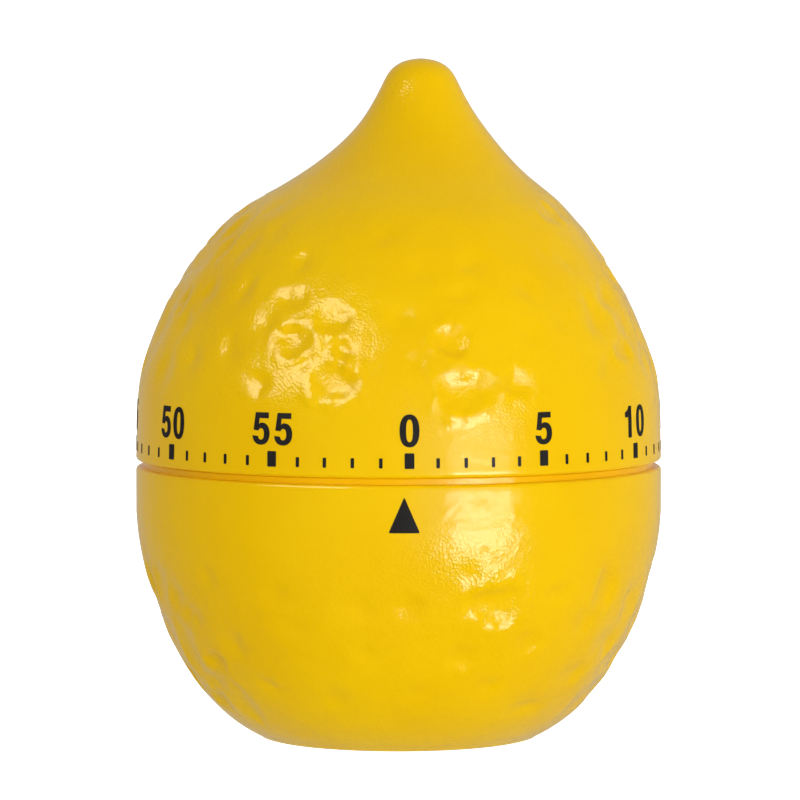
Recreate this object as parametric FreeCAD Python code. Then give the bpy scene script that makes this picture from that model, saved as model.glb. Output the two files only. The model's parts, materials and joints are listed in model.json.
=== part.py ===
# Mechanical kitchen timer in the shape of a lemon, 60 minutes a turn.
# The upper half is the dial and winds a clockwork movement that hangs in the lower half.
# Millimetres, +Z up, origin on the table under the centre, pointer side towards -Y.
import FreeCAD, Part
import math
import os

V = FreeCAD.Vector
UP = V(0, 0, 1)

# ---- Casing ---------------------------------------------------------------------------
BODY_R = 31.0           # outside radius beside the seam
LOWER_H = 32.1          # table to the lower half's top edge
SEAM_GAP = 0.8          # open band between the two halves
UPPER_H = 47.2          # upper half, from its bottom edge to the tip
FOOT_R = 15.8           # flat foot
BELLY_DROP = 5.3        # lower half's straight band under its top edge
BELLY_N, BELLY_M = 1.54, 3.38   # exponents of the lower half's outline
TIP_LEAN = 2.6          # how far the tip leans towards +X
LEAN_FROM, LEAN_TO = 0.5, 0.85  # shares of the upper half between which it leans over
TIP_ROUND = 1.4         # rounding of the tip
RIM_ROUND = 0.4         # rounding of the two rims at the seam
LOWER_WALL = 1.8
SKIRT_WALL = 1.8        # upper half, round the hub disc
DOME_WALL = 2.2         # upper half, above the hub disc
FLOOR = 2.4
# Upper outline: share of the body's radius, share of the upper half's height.
UPPER_OUTLINE = (
    (1.000, 0.000), (0.997, 0.083), (0.984, 0.203), (0.929, 0.322), (0.839, 0.443), (0.732, 0.545),
    (0.612, 0.627), (0.448, 0.703), (0.305, 0.784), (0.206, 0.864), (0.132, 0.945), (0.108, 1.000),
)
CAVITY_ROWS = (2, 9)    # rows of the outline that the dome's hollow follows
NECK_STEP = 0.55        # raised neck in the seam, in from the outside
NECK_CLEAR = 0.15       # neck's top to the upper half's rim
LIP_CLEAR = 0.5         # inner lip to the upper half's skirt
LIP_WALL = 1.4
LIP_RISE = 3.4          # inner lip above the lower half's top edge
LEDGE_T = 1.1           # ledge that carries the lip
SKIRT_DEPTH = 8.6       # depth of the skirt's bore, up to the hub disc's seat

# ---- Base cover -----------------------------------------------------------------------
COVER_R = 13.4
COVER_T = 1.2
COVER_SINK = 0.2        # cover's face above the table
COVER_CLEAR = 0.1
SOUND_HOLE_R = 10.0     # opening in the floor behind the cover
SLOT_W, SLOT_PITCH, SLOT_COUNT = 1.6, 3.2, 5
COVER_SCREW_CIRCLE = 11.7
COVER_SCREW_R, COVER_SCREW_HEAD_R, COVER_SCREW_L = 0.7, 1.5, 3.0
COVER_BOSS_R, COVER_BOSS_TOP = 1.7, 3.6

# ---- Movement frame -------------------------------------------------------------------
PLATE_R = 22.0
PLATE_T = 1.0
PLATE_SPACE = 13.0      # between the two plates
MOVEMENT_DROP = 6.1     # top plate's underside below the lower half's top edge
EAR_INSET = 3.7         # mounting screws in from the lower half's inside wall
EAR_R = 2.6
BOSS_R = 2.4
BOSS_DEPTH = 6.5        # depth of a mounting boss's screw hole
MOUNT_SCREW_R, MOUNT_HEAD_R, MOUNT_HEAD_H, MOUNT_SCREW_L = 1.1, 2.0, 1.3, 6.0
BOSS_ANGLES = (30, 150, 270)
PILLAR_R, PILLAR_CIRCLE, PILLAR_STUB_R = 1.5, 19.5, 0.9
PILLAR_ANGLES = (128, 219, 310)
SPRING_PILLAR, HAMMER_PILLAR = 219, 310     # pillars that hold the mainspring and the hammer spring
NUT_R, NUT_H = 1.85, 1.2
RUN = 0.05              # radial running clearance of every pivot
SHAKE = 0.15            # end play of every arbor
TRAIN_ANGLE = 40        # direction of the second arbor; every angle of the movement starts there

# ---- Wheels and pinions ---------------------------------------------------------------
PRESSURE = math.radians(20)
LEAVES = 8              # teeth of every pinion
GREAT_TEETH, GREAT_MODULE = 80, 0.32
SECOND_TEETH, SECOND_MODULE = 60, 0.28
THIRD_TEETH, THIRD_MODULE = 64, 0.22
WHEEL_ADDENDUM, WHEEL_DEDENDUM = 0.5, 1.45  # in modules
LEAF_ADDENDUM, LEAF_DEDENDUM = 1.2, 0.75    # in modules
LEAF_THICKNESS = 1.935  # at the pitch circle, in modules; a wheel's tooth has the rest of the pitch
BACKLASH = 0.08         # shared by the two teeth of a mesh
FLANK_STEPS = 3
THIRD_OUT, ESCAPE_OUT, BALANCE_OUT = 0.82, 1.72, 3.12   # arbors' circles outside the second arbor's
GREAT_T, WHEEL_T = 1.0, 0.8
GREAT_LEVEL, SECOND_LEVEL, THIRD_LEVEL, ESCAPE_LEVEL = 6.0, 9.2, 10.8, 2.0  # above the bottom plate
PINION_OVER = 0.6       # a pinion stands past its wheel's faces by this much
SECOND_ARBOR_R, THIRD_ARBOR_R, ESCAPE_ARBOR_R, STAFF_R = 0.9, 0.8, 0.6, 0.6
SECOND_PIVOT_R, THIRD_PIVOT_R, ESCAPE_PIVOT_R, STAFF_PIVOT_R = 0.5, 0.4, 0.3, 0.25

# ---- Winding arbor, ratchet and click -------------------------------------------------
ARBOR_R, ARBOR_NECK_R, ARBOR_PIVOT_R = 2.2, 1.8, 1.0
ARBOR_FLAT = 1.2        # flat of the D-shaped end, from the axis
ARBOR_TOP = 6.5         # D-shaped end above the lower half's top edge
CLIP_R, CLIP_T = 3.5, 0.4
RATCHET_TEETH, RATCHET_TIP_R, RATCHET_ROOT_R, RATCHET_T = 16, 6.0, 5.0, 1.0
RATCHET_GAP = 0.3       # ratchet above the great wheel
CLICK_ANGLE = 250       # the click's beak, from the second arbor
CLICK_PIN = (5.8, 7.5)  # click's pivot from the centre: along the beak's radius, and across it
CLICK_PIN_R, CLICK_EYE_R, CLICK_LEAF_T = 0.6, 1.5, 0.2
CLICK_GAP = 0.08        # beak to the tooth that drives it
CLICK_BITE = 0.35       # beak's tip above the ratchet's roots
CLICK_BACK = 1.3        # click's back outside the ratchet's tips

# ---- Stop, trip finger and hammer -----------------------------------------------------
DIAL_TRAVEL = 354       # degrees of dial between the two sides of the stop pin
STOP_CIRCLE, STOP_PIN_R, STOP_GAP = 16.0, 0.45, 0.04
STOP_ARM_T, STOP_ARM_RISE, STOP_HUB_R = 0.8, 0.4, 3.4
STOP_ANGLE = 100
FINGER_R, FINGER_W, FINGER_HUB_R, FINGER_T = 8.0, 0.4, 3.6, 0.8
FINGER_LEVEL = 11.9     # above the bottom plate
FINGER_LEAD = 22        # at rest the finger stands this many degrees past the hammer's tail
HAMMER_ANGLE, HAMMER_CIRCLE = 265, 18.0
HAMMER_ARBOR_R, HAMMER_PIVOT_R = 0.9, 0.5
TAIL_REACH, TAIL_TIP_W, TAIL_EYE_R = 10.7, 0.5, 1.8
HAMMER_ARM_L, HAMMER_ARM_T, HAMMER_ARM_W = 7.0, 0.8, 1.6
HAMMER_HEAD_R, HAMMER_HEAD_H, HAMMER_STUB_R = 1.6, 1.6, 0.8
HAMMER_REST_GAP = 0.5   # head to the bell at rest
HAMMER_SPRING_T = 0.25

# ---- Bell -----------------------------------------------------------------------------
BELL_R, BELL_T, BELL_ROUND = 14.0, 0.8, 5.5
BELL_CLEAR = 0.4        # under the bell, to the cover screws' bosses
BELL_DROP = 1.5         # bell's rim below the bottom plate
POST_R, POST_FLANGE_R, POST_FLANGE_T, POST_RIVET_R = 2.4, 6.0, 1.0, 0.8
BELL_SCREW_R, BELL_SCREW_HEAD_R, BELL_SCREW_HEAD_H, BELL_SCREW_L = 1.0, 2.4, 1.0, 4.0

# ---- Springs --------------------------------------------------------------------------
MAINSPRING_T, MAINSPRING_H, MAINSPRING_PITCH, MAINSPRING_TURNS = 0.3, 4.6, 0.95, 8
HAIRSPRING_T, HAIRSPRING_H, HAIRSPRING_PITCH, HAIRSPRING_TURNS = 0.1, 0.4, 0.45, 5
SPRING_CLEAR = 0.05     # innermost coil off its arbor
COLLET_R, COLLET_H = 1.0, 0.8
STUD_R = 0.5

# ---- Escapement and balance -----------------------------------------------------------
ESCAPE_TEETH, ESCAPE_R, ESCAPE_ROOT_R = 15, 5.0, 3.7
ESCAPE_TIP_W, ESCAPE_FOOT_W = 0.16, 1.1
PALLET_SPAN = 2.5       # teeth between the two pallet pins
PALLET_PIN_R, PALLET_GAP = 0.25, 0.05
PALLET_PLATE_T = 0.5
BALANCE_R, BALANCE_RIM, BALANCE_T, BALANCE_SPOKE_W = 5.6, 1.0, 1.0, 1.2
STAFF_TO_ESCAPE = 6.8
BALANCE_LEVEL, PALLET_LEVEL, COLLET_LEVEL = 3.8, 1.4, 5.0   # above the bottom plate

# ---- Dial hub -------------------------------------------------------------------------
HUB_DISC_T = 2.0
HUB_BOSS_R = 5.0
HUB_BOSS_BOTTOM = -1.5  # from the lower half's top edge
HUB_RIBS, HUB_RIB_W, HUB_RIB_DROP, HUB_RIB_CLEAR = 6, 1.4, 2.4, 3.0

# ---- Places worked out from the sizes above -------------------------------------------
UPPER_Z = LOWER_H + SEAM_GAP
TIP_Z = UPPER_Z + UPPER_H
SKIRT_R = BODY_R - SKIRT_WALL
SEAT_Z = UPPER_Z + SKIRT_DEPTH
LIP_R = SKIRT_R - LIP_CLEAR
TOP_PLATE_Z = LOWER_H - MOVEMENT_DROP
FRAME_Z = TOP_PLATE_Z - PLATE_SPACE
EAR_CIRCLE = BODY_R - LOWER_WALL - EAR_INSET
BELL_RIM_Z = FRAME_Z - PLATE_T - BELL_DROP
GREAT_Z = FRAME_Z + GREAT_LEVEL
RATCHET_Z = GREAT_Z + GREAT_T + RATCHET_GAP
FINGER_Z = FRAME_Z + FINGER_LEVEL
STOP_Z = TOP_PLATE_Z + PLATE_T + STOP_ARM_RISE
HAMMER_ARM_Z = BELL_RIM_Z - 2.5


def polar(radius, degrees, z=0.0):
    """Point at a radius and an angle about the dial's axis."""
    angle = math.radians(degrees)
    return V(radius * math.cos(angle), radius * math.sin(angle), z)


def angle_between(near, far, apart):
    """Angle at the centre, in degrees, between two arbors at two radii and a distance apart."""
    return math.degrees(math.acos((near ** 2 + far ** 2 - apart ** 2) / (2 * near * far)))


def pair_distance(teeth, module):
    """Centre distance of a wheel and its pinion."""
    return (teeth + LEAVES) * module / 2


SECOND_CIRCLE = pair_distance(GREAT_TEETH, GREAT_MODULE)
THIRD_CIRCLE = SECOND_CIRCLE + THIRD_OUT
ESCAPE_CIRCLE = SECOND_CIRCLE + ESCAPE_OUT
BALANCE_CIRCLE = SECOND_CIRCLE + BALANCE_OUT
SECOND_ANGLE = TRAIN_ANGLE
THIRD_ANGLE = SECOND_ANGLE + angle_between(
    SECOND_CIRCLE, THIRD_CIRCLE, pair_distance(SECOND_TEETH, SECOND_MODULE))
ESCAPE_ANGLE = THIRD_ANGLE + angle_between(
    THIRD_CIRCLE, ESCAPE_CIRCLE, pair_distance(THIRD_TEETH, THIRD_MODULE))
BALANCE_ANGLE = ESCAPE_ANGLE + angle_between(ESCAPE_CIRCLE, BALANCE_CIRCLE, STAFF_TO_ESCAPE)

SECOND_AT = polar(SECOND_CIRCLE, SECOND_ANGLE)
THIRD_AT = polar(THIRD_CIRCLE, THIRD_ANGLE)
ESCAPE_AT = polar(ESCAPE_CIRCLE, ESCAPE_ANGLE)
BALANCE_AT = polar(BALANCE_CIRCLE, BALANCE_ANGLE)
HAMMER_AT = polar(HAMMER_CIRCLE, TRAIN_ANGLE + HAMMER_ANGLE)
CLICK_AT = polar(math.hypot(*CLICK_PIN),
                 TRAIN_ANGLE + CLICK_ANGLE + math.degrees(math.atan2(CLICK_PIN[1], CLICK_PIN[0])))


# ---- General helpers ------------------------------------------------------------------
def rod(radius, bottom, top, at=V(0, 0, 0)):
    """Upright cylinder between two heights."""
    return Part.makeCylinder(radius, top - bottom, V(at.x, at.y, bottom))


def ring(outer, inner, bottom, top, at=V(0, 0, 0)):
    """Upright tube between two heights."""
    return rod(outer, bottom, top, at).cut(rod(inner, bottom, top, at))


def prism(points, bottom, top):
    """Upright prism on a closed outline of straight sides."""
    wire = Part.makePolygon([V(p.x, p.y, bottom) for p in list(points) + [points[0]]])
    return Part.Face(wire).extrude(V(0, 0, top - bottom))


def bar(start, end, start_width, end_width, bottom, top):
    """Flat bar from one point to another, with a width at each end."""
    along = V(end.x - start.x, end.y - start.y, 0).normalize()
    side = V(-along.y, along.x, 0)
    corners = [start + side * (start_width / 2), start - side * (start_width / 2),
               end - side * (end_width / 2), end + side * (end_width / 2)]
    return prism(corners, bottom, top)


def turned(shape, degrees, at=V(0, 0, 0)):
    """Copy of a shape, turned about an upright line."""
    copy = shape.copy()
    copy.rotate(at, UP, degrees)
    return copy


def round_edges(shape, z, radius, rounding):
    """Round the level circular edges of one radius at one height."""
    def is_wanted(edge):
        """True for an edge at the height whose length is the circle's."""
        box = edge.BoundBox
        return (max(abs(box.ZMin - z), abs(box.ZMax - z)) < 1e-3
                and abs(edge.Length / (2 * math.pi) - radius) < 1e-2)

    return shape.makeFillet(rounding, [edge for edge in shape.Edges if is_wanted(edge)])


def inset(rows, wall):
    """Outline rows (radius, height) moved inwards by a wall, square to the outline."""
    moved = []
    for index, (radius, z) in enumerate(rows):
        before = rows[max(index - 1, 0)]
        after = rows[min(index + 1, len(rows) - 1)]
        run, rise = after[0] - before[0], after[1] - before[1]
        length = math.hypot(run, rise)
        moved.append((radius - wall * rise / length, z + wall * run / length))
    return moved


# ---- Casing ---------------------------------------------------------------------------
def lower_rows():
    """Lower half's outline: a superellipse that the table cuts off at the foot."""
    straight_from = LOWER_H - BELLY_DROP
    cut = (1 - (FOOT_R / BODY_R) ** BELLY_M) ** (1 / BELLY_N)
    steps = 16
    rows = []
    for step in range(steps + 1):
        share = cut * math.cos(math.pi / 2 * step / steps)
        rows.append((BODY_R * (1 - share ** BELLY_N) ** (1 / BELLY_M), straight_from * (1 - share / cut)))
    return rows


def lower_solid(rows):
    """Solid of revolution under a lower outline, closed straight up to the top edge."""
    curve = Part.BSplineCurve()
    curve.interpolate([V(radius, 0, z) for radius, z in rows])
    first, last = rows[0], rows[-1]
    corners = [V(last[0], 0, last[1]), V(last[0], 0, LOWER_H), V(0, 0, LOWER_H),
               V(0, 0, first[1]), V(first[0], 0, first[1])]
    wire = Part.Wire([curve.toShape()] + Part.makePolygon(corners).Edges)
    return Part.Face(wire).revolve(V(0, 0, 0), UP, 360)


def upper_rows():
    """Upper half's outline in millimetres."""
    return [(share_r * BODY_R, UPPER_Z + share_h * UPPER_H) for share_r, share_h in UPPER_OUTLINE]


def lean_at(z):
    """How far the upper half's middle has moved towards +X at a height."""
    share = ((z - UPPER_Z) / UPPER_H - LEAN_FROM) / (LEAN_TO - LEAN_FROM)
    share = min(max(share, 0), 1)
    return TIP_LEAN * share * share * (3 - 2 * share)


def loft_rows(rows):
    """Smooth solid through level circles whose middles lean with the tip."""
    circles = [Part.Wire(Part.makeCircle(radius, V(lean_at(z), 0, z), UP)) for radius, z in rows]
    return Part.makeLoft(circles, True, False)


def lower_shell():
    """Body: thin cup with a foot, a seam neck, an inner lip and the movement's three bosses."""
    outer = lower_solid(lower_rows())
    hollow = lower_solid(inset(lower_rows(), LOWER_WALL)).cut(rod(BODY_R, -FLOOR, FLOOR))
    shell = outer.cut(hollow)
    shell = round_edges(shell, LOWER_H, BODY_R, RIM_ROUND)
    lip_bore = LIP_R - LIP_WALL
    shell = shell.fuse(ring(BODY_R - LOWER_WALL, lip_bore, LOWER_H - LEDGE_T, LOWER_H))
    shell = shell.fuse(ring(BODY_R - NECK_STEP, lip_bore, LOWER_H, UPPER_Z - NECK_CLEAR))
    shell = shell.fuse(ring(LIP_R, lip_bore, LOWER_H, LOWER_H + LIP_RISE))
    for angle in BOSS_ANGLES:
        at = polar(EAR_CIRCLE, TRAIN_ANGLE + angle)
        post = rod(BOSS_R, FLOOR, TOP_PLATE_Z, at)
        web = bar(at, polar(BODY_R, TRAIN_ANGLE + angle), BOSS_R, BOSS_R, FLOOR, TOP_PLATE_Z - 1)
        shell = shell.fuse(post.fuse(web).common(outer))
        shell = shell.cut(rod(MOUNT_SCREW_R, TOP_PLATE_Z - BOSS_DEPTH, TOP_PLATE_Z, at))
    shell = shell.cut(rod(COVER_R + COVER_CLEAR, 0, COVER_SINK + COVER_T))
    shell = shell.cut(rod(SOUND_HOLE_R, 0, FLOOR))
    for at in cover_screw_places():
        shell = shell.fuse(rod(COVER_BOSS_R, COVER_SINK + COVER_T, COVER_BOSS_TOP, at))
        shell = shell.cut(rod(COVER_SCREW_R, 0, COVER_SINK + COVER_SCREW_L, at))
    return shell.removeSplitter()


def upper_shell():
    """Dial: hollow lemon top with a skirt round the hub disc."""
    outer = loft_rows(upper_rows())
    outer = round_edges(outer, TIP_Z, UPPER_OUTLINE[-1][0] * BODY_R, TIP_ROUND)
    outer = round_edges(outer, UPPER_Z, BODY_R, RIM_ROUND)
    first, last = CAVITY_ROWS
    rows = inset(upper_rows(), DOME_WALL)[first:last + 1]
    hollow = loft_rows([(rows[0][0], SEAT_Z)] + rows[1:])
    return outer.cut(rod(SKIRT_R, UPPER_Z, SEAT_Z)).cut(hollow)


def dial_hub():
    """Ribbed disc that fills the skirt and sits on the winding arbor's D-shaped end."""
    bottom = LOWER_H + HUB_BOSS_BOTTOM
    hub = rod(SKIRT_R, SEAT_Z - HUB_DISC_T, SEAT_Z).fuse(rod(HUB_BOSS_R, bottom, SEAT_Z))
    for index in range(HUB_RIBS):
        outward = polar(LIP_R - LIP_WALL - HUB_RIB_CLEAR, 360 / HUB_RIBS * index)
        under = SEAT_Z - HUB_DISC_T - HUB_RIB_DROP
        hub = hub.fuse(bar(V(0, 0, 0), outward, HUB_RIB_W, HUB_RIB_W, under, SEAT_Z))
    return hub.cut(arbor_end()).removeSplitter()


def cover_screw_places():
    """Where the base cover's three screws stand."""
    return [polar(COVER_SCREW_CIRCLE, TRAIN_ANGLE + angle) for angle in BOSS_ANGLES]


def base_cover():
    """Recessed disc in the foot with sound slots."""
    top = COVER_SINK + COVER_T
    cover = rod(COVER_R, COVER_SINK, top)
    for index in range(SLOT_COUNT):
        y = (index - (SLOT_COUNT - 1) / 2) * SLOT_PITCH
        half = math.sqrt((SOUND_HOLE_R - SLOT_W) ** 2 - y ** 2)
        slot = bar(V(-half, y, 0), V(half, y, 0), SLOT_W, SLOT_W, COVER_SINK, top)
        for end in (-half, half):
            slot = slot.fuse(rod(SLOT_W / 2, COVER_SINK, top, V(end, y, 0)))
        cover = cover.cut(slot)
    return cover.cut(base_cover_screws())


def base_cover_screws():
    """Three countersunk screws."""
    sink = COVER_SCREW_HEAD_R - COVER_SCREW_R
    screws = []
    for at in cover_screw_places():
        head = Part.makeCone(COVER_SCREW_HEAD_R, COVER_SCREW_R, sink, V(at.x, at.y, COVER_SINK))
        screws.append(head.fuse(rod(COVER_SCREW_R, COVER_SINK, COVER_SINK + COVER_SCREW_L, at)))
    return Part.Compound(screws)


# ---- Movement frame -------------------------------------------------------------------
def arbor_holes():
    """(place, pivot radius) of every arbor that both plates carry."""
    return [(SECOND_AT, SECOND_PIVOT_R), (THIRD_AT, THIRD_PIVOT_R), (ESCAPE_AT, ESCAPE_PIVOT_R),
            (BALANCE_AT, STAFF_PIVOT_R)]


def pillar_places():
    """Centres of the plates' pillars."""
    return [polar(PILLAR_CIRCLE, TRAIN_ANGLE + angle) for angle in PILLAR_ANGLES]


def plate(bottom, centre_hole, hammer_hole):
    """Round brass plate with its pivot and pillar holes."""
    top = bottom + PLATE_T
    shape = rod(PLATE_R, bottom, top).cut(rod(centre_hole, bottom, top))
    for at, pivot in arbor_holes():
        shape = shape.cut(rod(pivot + RUN, bottom, top, at))
    for at in pillar_places():
        shape = shape.cut(rod(PILLAR_STUB_R, bottom, top, at))
    return shape.cut(rod(hammer_hole, bottom, top, HAMMER_AT))


def bottom_plate():
    """Lower plate, which also carries the bell's post."""
    shape = plate(FRAME_Z - PLATE_T, ARBOR_PIVOT_R + RUN, HAMMER_ARBOR_R + RUN)
    for at in post_rivet_places():
        shape = shape.cut(rod(POST_RIVET_R, FRAME_Z - PLATE_T, FRAME_Z, at))
    return shape


def top_plate():
    """Upper plate with three ears that are screwed to the body."""
    top = TOP_PLATE_Z + PLATE_T
    shape = plate(TOP_PLATE_Z, ARBOR_NECK_R + RUN, HAMMER_PIVOT_R + RUN)
    for angle in BOSS_ANGLES:
        at = polar(EAR_CIRCLE, TRAIN_ANGLE + angle)
        root = polar(PLATE_R - EAR_R, TRAIN_ANGLE + angle)
        ear = rod(EAR_R, TOP_PLATE_Z, top, at).fuse(bar(root, at, 3 * EAR_R, 2 * EAR_R, TOP_PLATE_Z, top))
        for other, _ in arbor_holes():
            ear = ear.cut(rod(2 * EAR_R, TOP_PLATE_Z, top, other))
        shape = shape.fuse(ear).cut(rod(MOUNT_SCREW_R, TOP_PLATE_Z, top, at))
    shape = shape.cut(rod(STOP_PIN_R, TOP_PLATE_Z, top, stop_pin_place()))
    return shape.cut(rod(STUD_R, TOP_PLATE_Z, top, stud_place())).removeSplitter()


def plate_pillars():
    """Three pillars, riveted below and threaded above."""
    nut_top = TOP_PLATE_Z + PLATE_T + NUT_H
    return Part.Compound([
        rod(PILLAR_R, FRAME_Z, TOP_PLATE_Z, at).fuse(rod(PILLAR_STUB_R, FRAME_Z - PLATE_T, nut_top, at))
        for at in pillar_places()])


def pillar_nuts():
    """Hexagon nuts that hold the top plate on its pillars."""
    bottom = TOP_PLATE_Z + PLATE_T
    nuts = []
    for at in pillar_places():
        corners = [at + polar(NUT_R, 60 * index) for index in range(6)]
        thread = rod(PILLAR_STUB_R, bottom, bottom + NUT_H, at)
        nuts.append(prism(corners, bottom, bottom + NUT_H).cut(thread))
    return Part.Compound(nuts)


def movement_screws():
    """Three screws through the top plate's ears into the body's bosses."""
    seat = TOP_PLATE_Z + PLATE_T
    screws = []
    for angle in BOSS_ANGLES:
        at = polar(EAR_CIRCLE, TRAIN_ANGLE + angle)
        head = rod(MOUNT_HEAD_R, seat, seat + MOUNT_HEAD_H, at)
        slot = bar(at - V(MOUNT_HEAD_R, 0, 0), at + V(MOUNT_HEAD_R, 0, 0), 0.5, 0.5,
                   seat + MOUNT_HEAD_H / 2, seat + MOUNT_HEAD_H)
        screws.append(head.cut(slot).fuse(rod(MOUNT_SCREW_R, seat - MOUNT_SCREW_L, seat, at)))
    return Part.Compound(screws)


def stop_pin_place():
    """The stop pin stands half the untravelled angle past the stop arm."""
    return polar(STOP_CIRCLE, TRAIN_ANGLE + STOP_ANGLE + (360 - DIAL_TRAVEL) / 2)


def stop_pin():
    """Pin in the top plate that ends the dial's turn both ways."""
    return rod(STOP_PIN_R, TOP_PLATE_Z, STOP_Z + STOP_ARM_T, stop_pin_place())


# ---- Bell -----------------------------------------------------------------------------
def bell_apex():
    """Height of the bell's lowest face."""
    return COVER_BOSS_TOP + BELL_CLEAR


def bell():
    """Steel cup that hangs mouth up under the bottom plate."""
    rounding = min(BELL_ROUND, (BELL_RIM_Z - bell_apex()) * 0.85)
    outer = round_edges(rod(BELL_R, bell_apex(), BELL_RIM_Z), bell_apex(), BELL_R, rounding)
    inner_r, inner_z = BELL_R - BELL_T, bell_apex() + BELL_T
    inner = round_edges(rod(inner_r, inner_z, BELL_RIM_Z), inner_z, inner_r, rounding - BELL_T)
    return outer.cut(inner).cut(rod(BELL_SCREW_R, bell_apex(), BELL_RIM_Z))


def post_rivet_places():
    """The two rivets of the bell post's flange."""
    middle = (POST_R + POST_FLANGE_R) / 2
    return [polar(middle, TRAIN_ANGLE + angle) for angle in (0, 180)]


def bell_post():
    """Flanged post between the bottom plate and the bell."""
    under = FRAME_Z - PLATE_T
    post = rod(POST_FLANGE_R, under - POST_FLANGE_T, under)
    post = post.fuse(rod(POST_R, bell_apex() + BELL_T, under))
    for at in post_rivet_places():
        post = post.fuse(rod(POST_RIVET_R, under, FRAME_Z, at))
    return post.cut(rod(BELL_SCREW_R, bell_apex(), bell_apex() + BELL_SCREW_L)).removeSplitter()


def bell_screw():
    """Screw that clamps the bell to its post."""
    apex = bell_apex()
    head = rod(BELL_SCREW_HEAD_R, apex - BELL_SCREW_HEAD_H, apex)
    slot = bar(V(-BELL_SCREW_HEAD_R, 0, 0), V(BELL_SCREW_HEAD_R, 0, 0), 0.6, 0.6,
               apex - BELL_SCREW_HEAD_H, apex - BELL_SCREW_HEAD_H / 2)
    return head.cut(slot).fuse(rod(BELL_SCREW_R, apex, apex + BELL_SCREW_L))


# ---- Gears ----------------------------------------------------------------------------
def roll(cosine):
    """Involute function tan(a) - a of the angle with this cosine."""
    angle = math.acos(cosine)
    return math.tan(angle) - angle


def gear_face(teeth, module, tip_r, root_r, thickness, phase, at, z):
    """Spur gear outline with its tooth 0 at an angle, as a flat face."""
    pitch_r = teeth * module / 2
    base_r = pitch_r * math.cos(PRESSURE)
    half = thickness / (2 * pitch_r) + roll(math.cos(PRESSURE))
    start_r = max(base_r, root_r)
    flank = [(root_r, half)] if root_r < base_r else []
    for step in range(FLANK_STEPS + 1):
        radius = start_r + (tip_r - start_r) * step / FLANK_STEPS
        flank.append((radius, half - roll(base_r / radius)))
    points = []
    for tooth in range(teeth):
        middle = phase + 360 / teeth * tooth
        points += [polar(radius, middle - math.degrees(angle), z) for radius, angle in flank]
        points += [polar(radius, middle + math.degrees(angle), z) for radius, angle in reversed(flank)]
    place = V(at.x, at.y, 0)
    return Part.Face(Part.makePolygon([place + point for point in points + [points[0]]]))


def wheel(teeth, module, phase, at, bottom, thick):
    """Brass wheel blank with its teeth."""
    pitch_r = teeth * module / 2
    tooth = (math.pi - LEAF_THICKNESS) * module - BACKLASH / 2
    face = gear_face(teeth, module, pitch_r + WHEEL_ADDENDUM * module,
                     pitch_r - WHEEL_DEDENDUM * module, tooth, phase, at, bottom)
    return face.extrude(V(0, 0, thick))


def pinion(module, phase, at, bottom, top):
    """Steel pinion."""
    pitch_r = LEAVES * module / 2
    face = gear_face(LEAVES, module, pitch_r + LEAF_ADDENDUM * module, pitch_r - LEAF_DEDENDUM * module,
                     LEAF_THICKNESS * module - BACKLASH / 2, phase, at, bottom)
    return face.extrude(V(0, 0, top - bottom))


def mesh_phase(teeth, phase, here, there):
    """Angle of a pinion's leaf 0 that meshes with a wheel whose tooth 0 is at the given phase."""
    line = math.degrees(math.atan2(there.y - here.y, there.x - here.x))
    return line + 180 - (180 - teeth * (line - phase)) / LEAVES


def windows(shape, hub_r, rim_r, spokes, spoke_w, at, bottom, top):
    """Cut the openings between a wheel's spokes."""
    opening = ring(rim_r, hub_r, bottom, top, at)
    for index in range(spokes):
        opening = opening.cut(bar(at, at + polar(rim_r * 1.1, 360 / spokes * index), spoke_w, spoke_w,
                                  bottom, top))
    return shape.cut(opening)


def arbor(radius, pivot_r, at):
    """Plain arbor with a pivot at each end, between the plates."""
    body = rod(radius, FRAME_Z + SHAKE, TOP_PLATE_Z - SHAKE, at)
    return body.fuse(rod(pivot_r, FRAME_Z - PLATE_T + SHAKE, TOP_PLATE_Z + PLATE_T - SHAKE, at))


def great_wheel():
    """First wheel, loose on the winding arbor; it carries the click."""
    shape = wheel(GREAT_TEETH, GREAT_MODULE, 0, V(0, 0, 0), GREAT_Z, GREAT_T)
    shape = shape.cut(rod(ARBOR_R + RUN, GREAT_Z, GREAT_Z + GREAT_T))
    shape = shape.cut(rod(CLICK_PIN_R, GREAT_Z, GREAT_Z + GREAT_T, CLICK_AT))
    return shape.cut(rod(STUD_R, GREAT_Z, GREAT_Z + GREAT_T, click_stud_place()))


def second_arbor():
    """Arbor whose pinion the great wheel drives."""
    phase = mesh_phase(GREAT_TEETH, 0, V(0, 0, 0), SECOND_AT)
    leaves = pinion(GREAT_MODULE, phase, SECOND_AT, GREAT_Z - PINION_OVER, GREAT_Z + GREAT_T + PINION_OVER)
    return arbor(SECOND_ARBOR_R, SECOND_PIVOT_R, SECOND_AT).fuse(leaves).removeSplitter()


def second_wheel():
    """Wheel pressed on the second arbor."""
    bottom, top = FRAME_Z + SECOND_LEVEL, FRAME_Z + SECOND_LEVEL + WHEEL_T
    shape = wheel(SECOND_TEETH, SECOND_MODULE, 0, SECOND_AT, bottom, WHEEL_T)
    shape = windows(shape, 2.4, 6.6, 4, 1.2, SECOND_AT, bottom, top)
    return shape.cut(rod(SECOND_ARBOR_R, bottom, top, SECOND_AT))


def third_arbor():
    """Arbor whose pinion the second wheel drives."""
    phase = mesh_phase(SECOND_TEETH, 0, SECOND_AT, THIRD_AT)
    bottom = FRAME_Z + SECOND_LEVEL
    leaves = pinion(SECOND_MODULE, phase, THIRD_AT, bottom - PINION_OVER, bottom + WHEEL_T + PINION_OVER)
    return arbor(THIRD_ARBOR_R, THIRD_PIVOT_R, THIRD_AT).fuse(leaves).removeSplitter()


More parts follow.
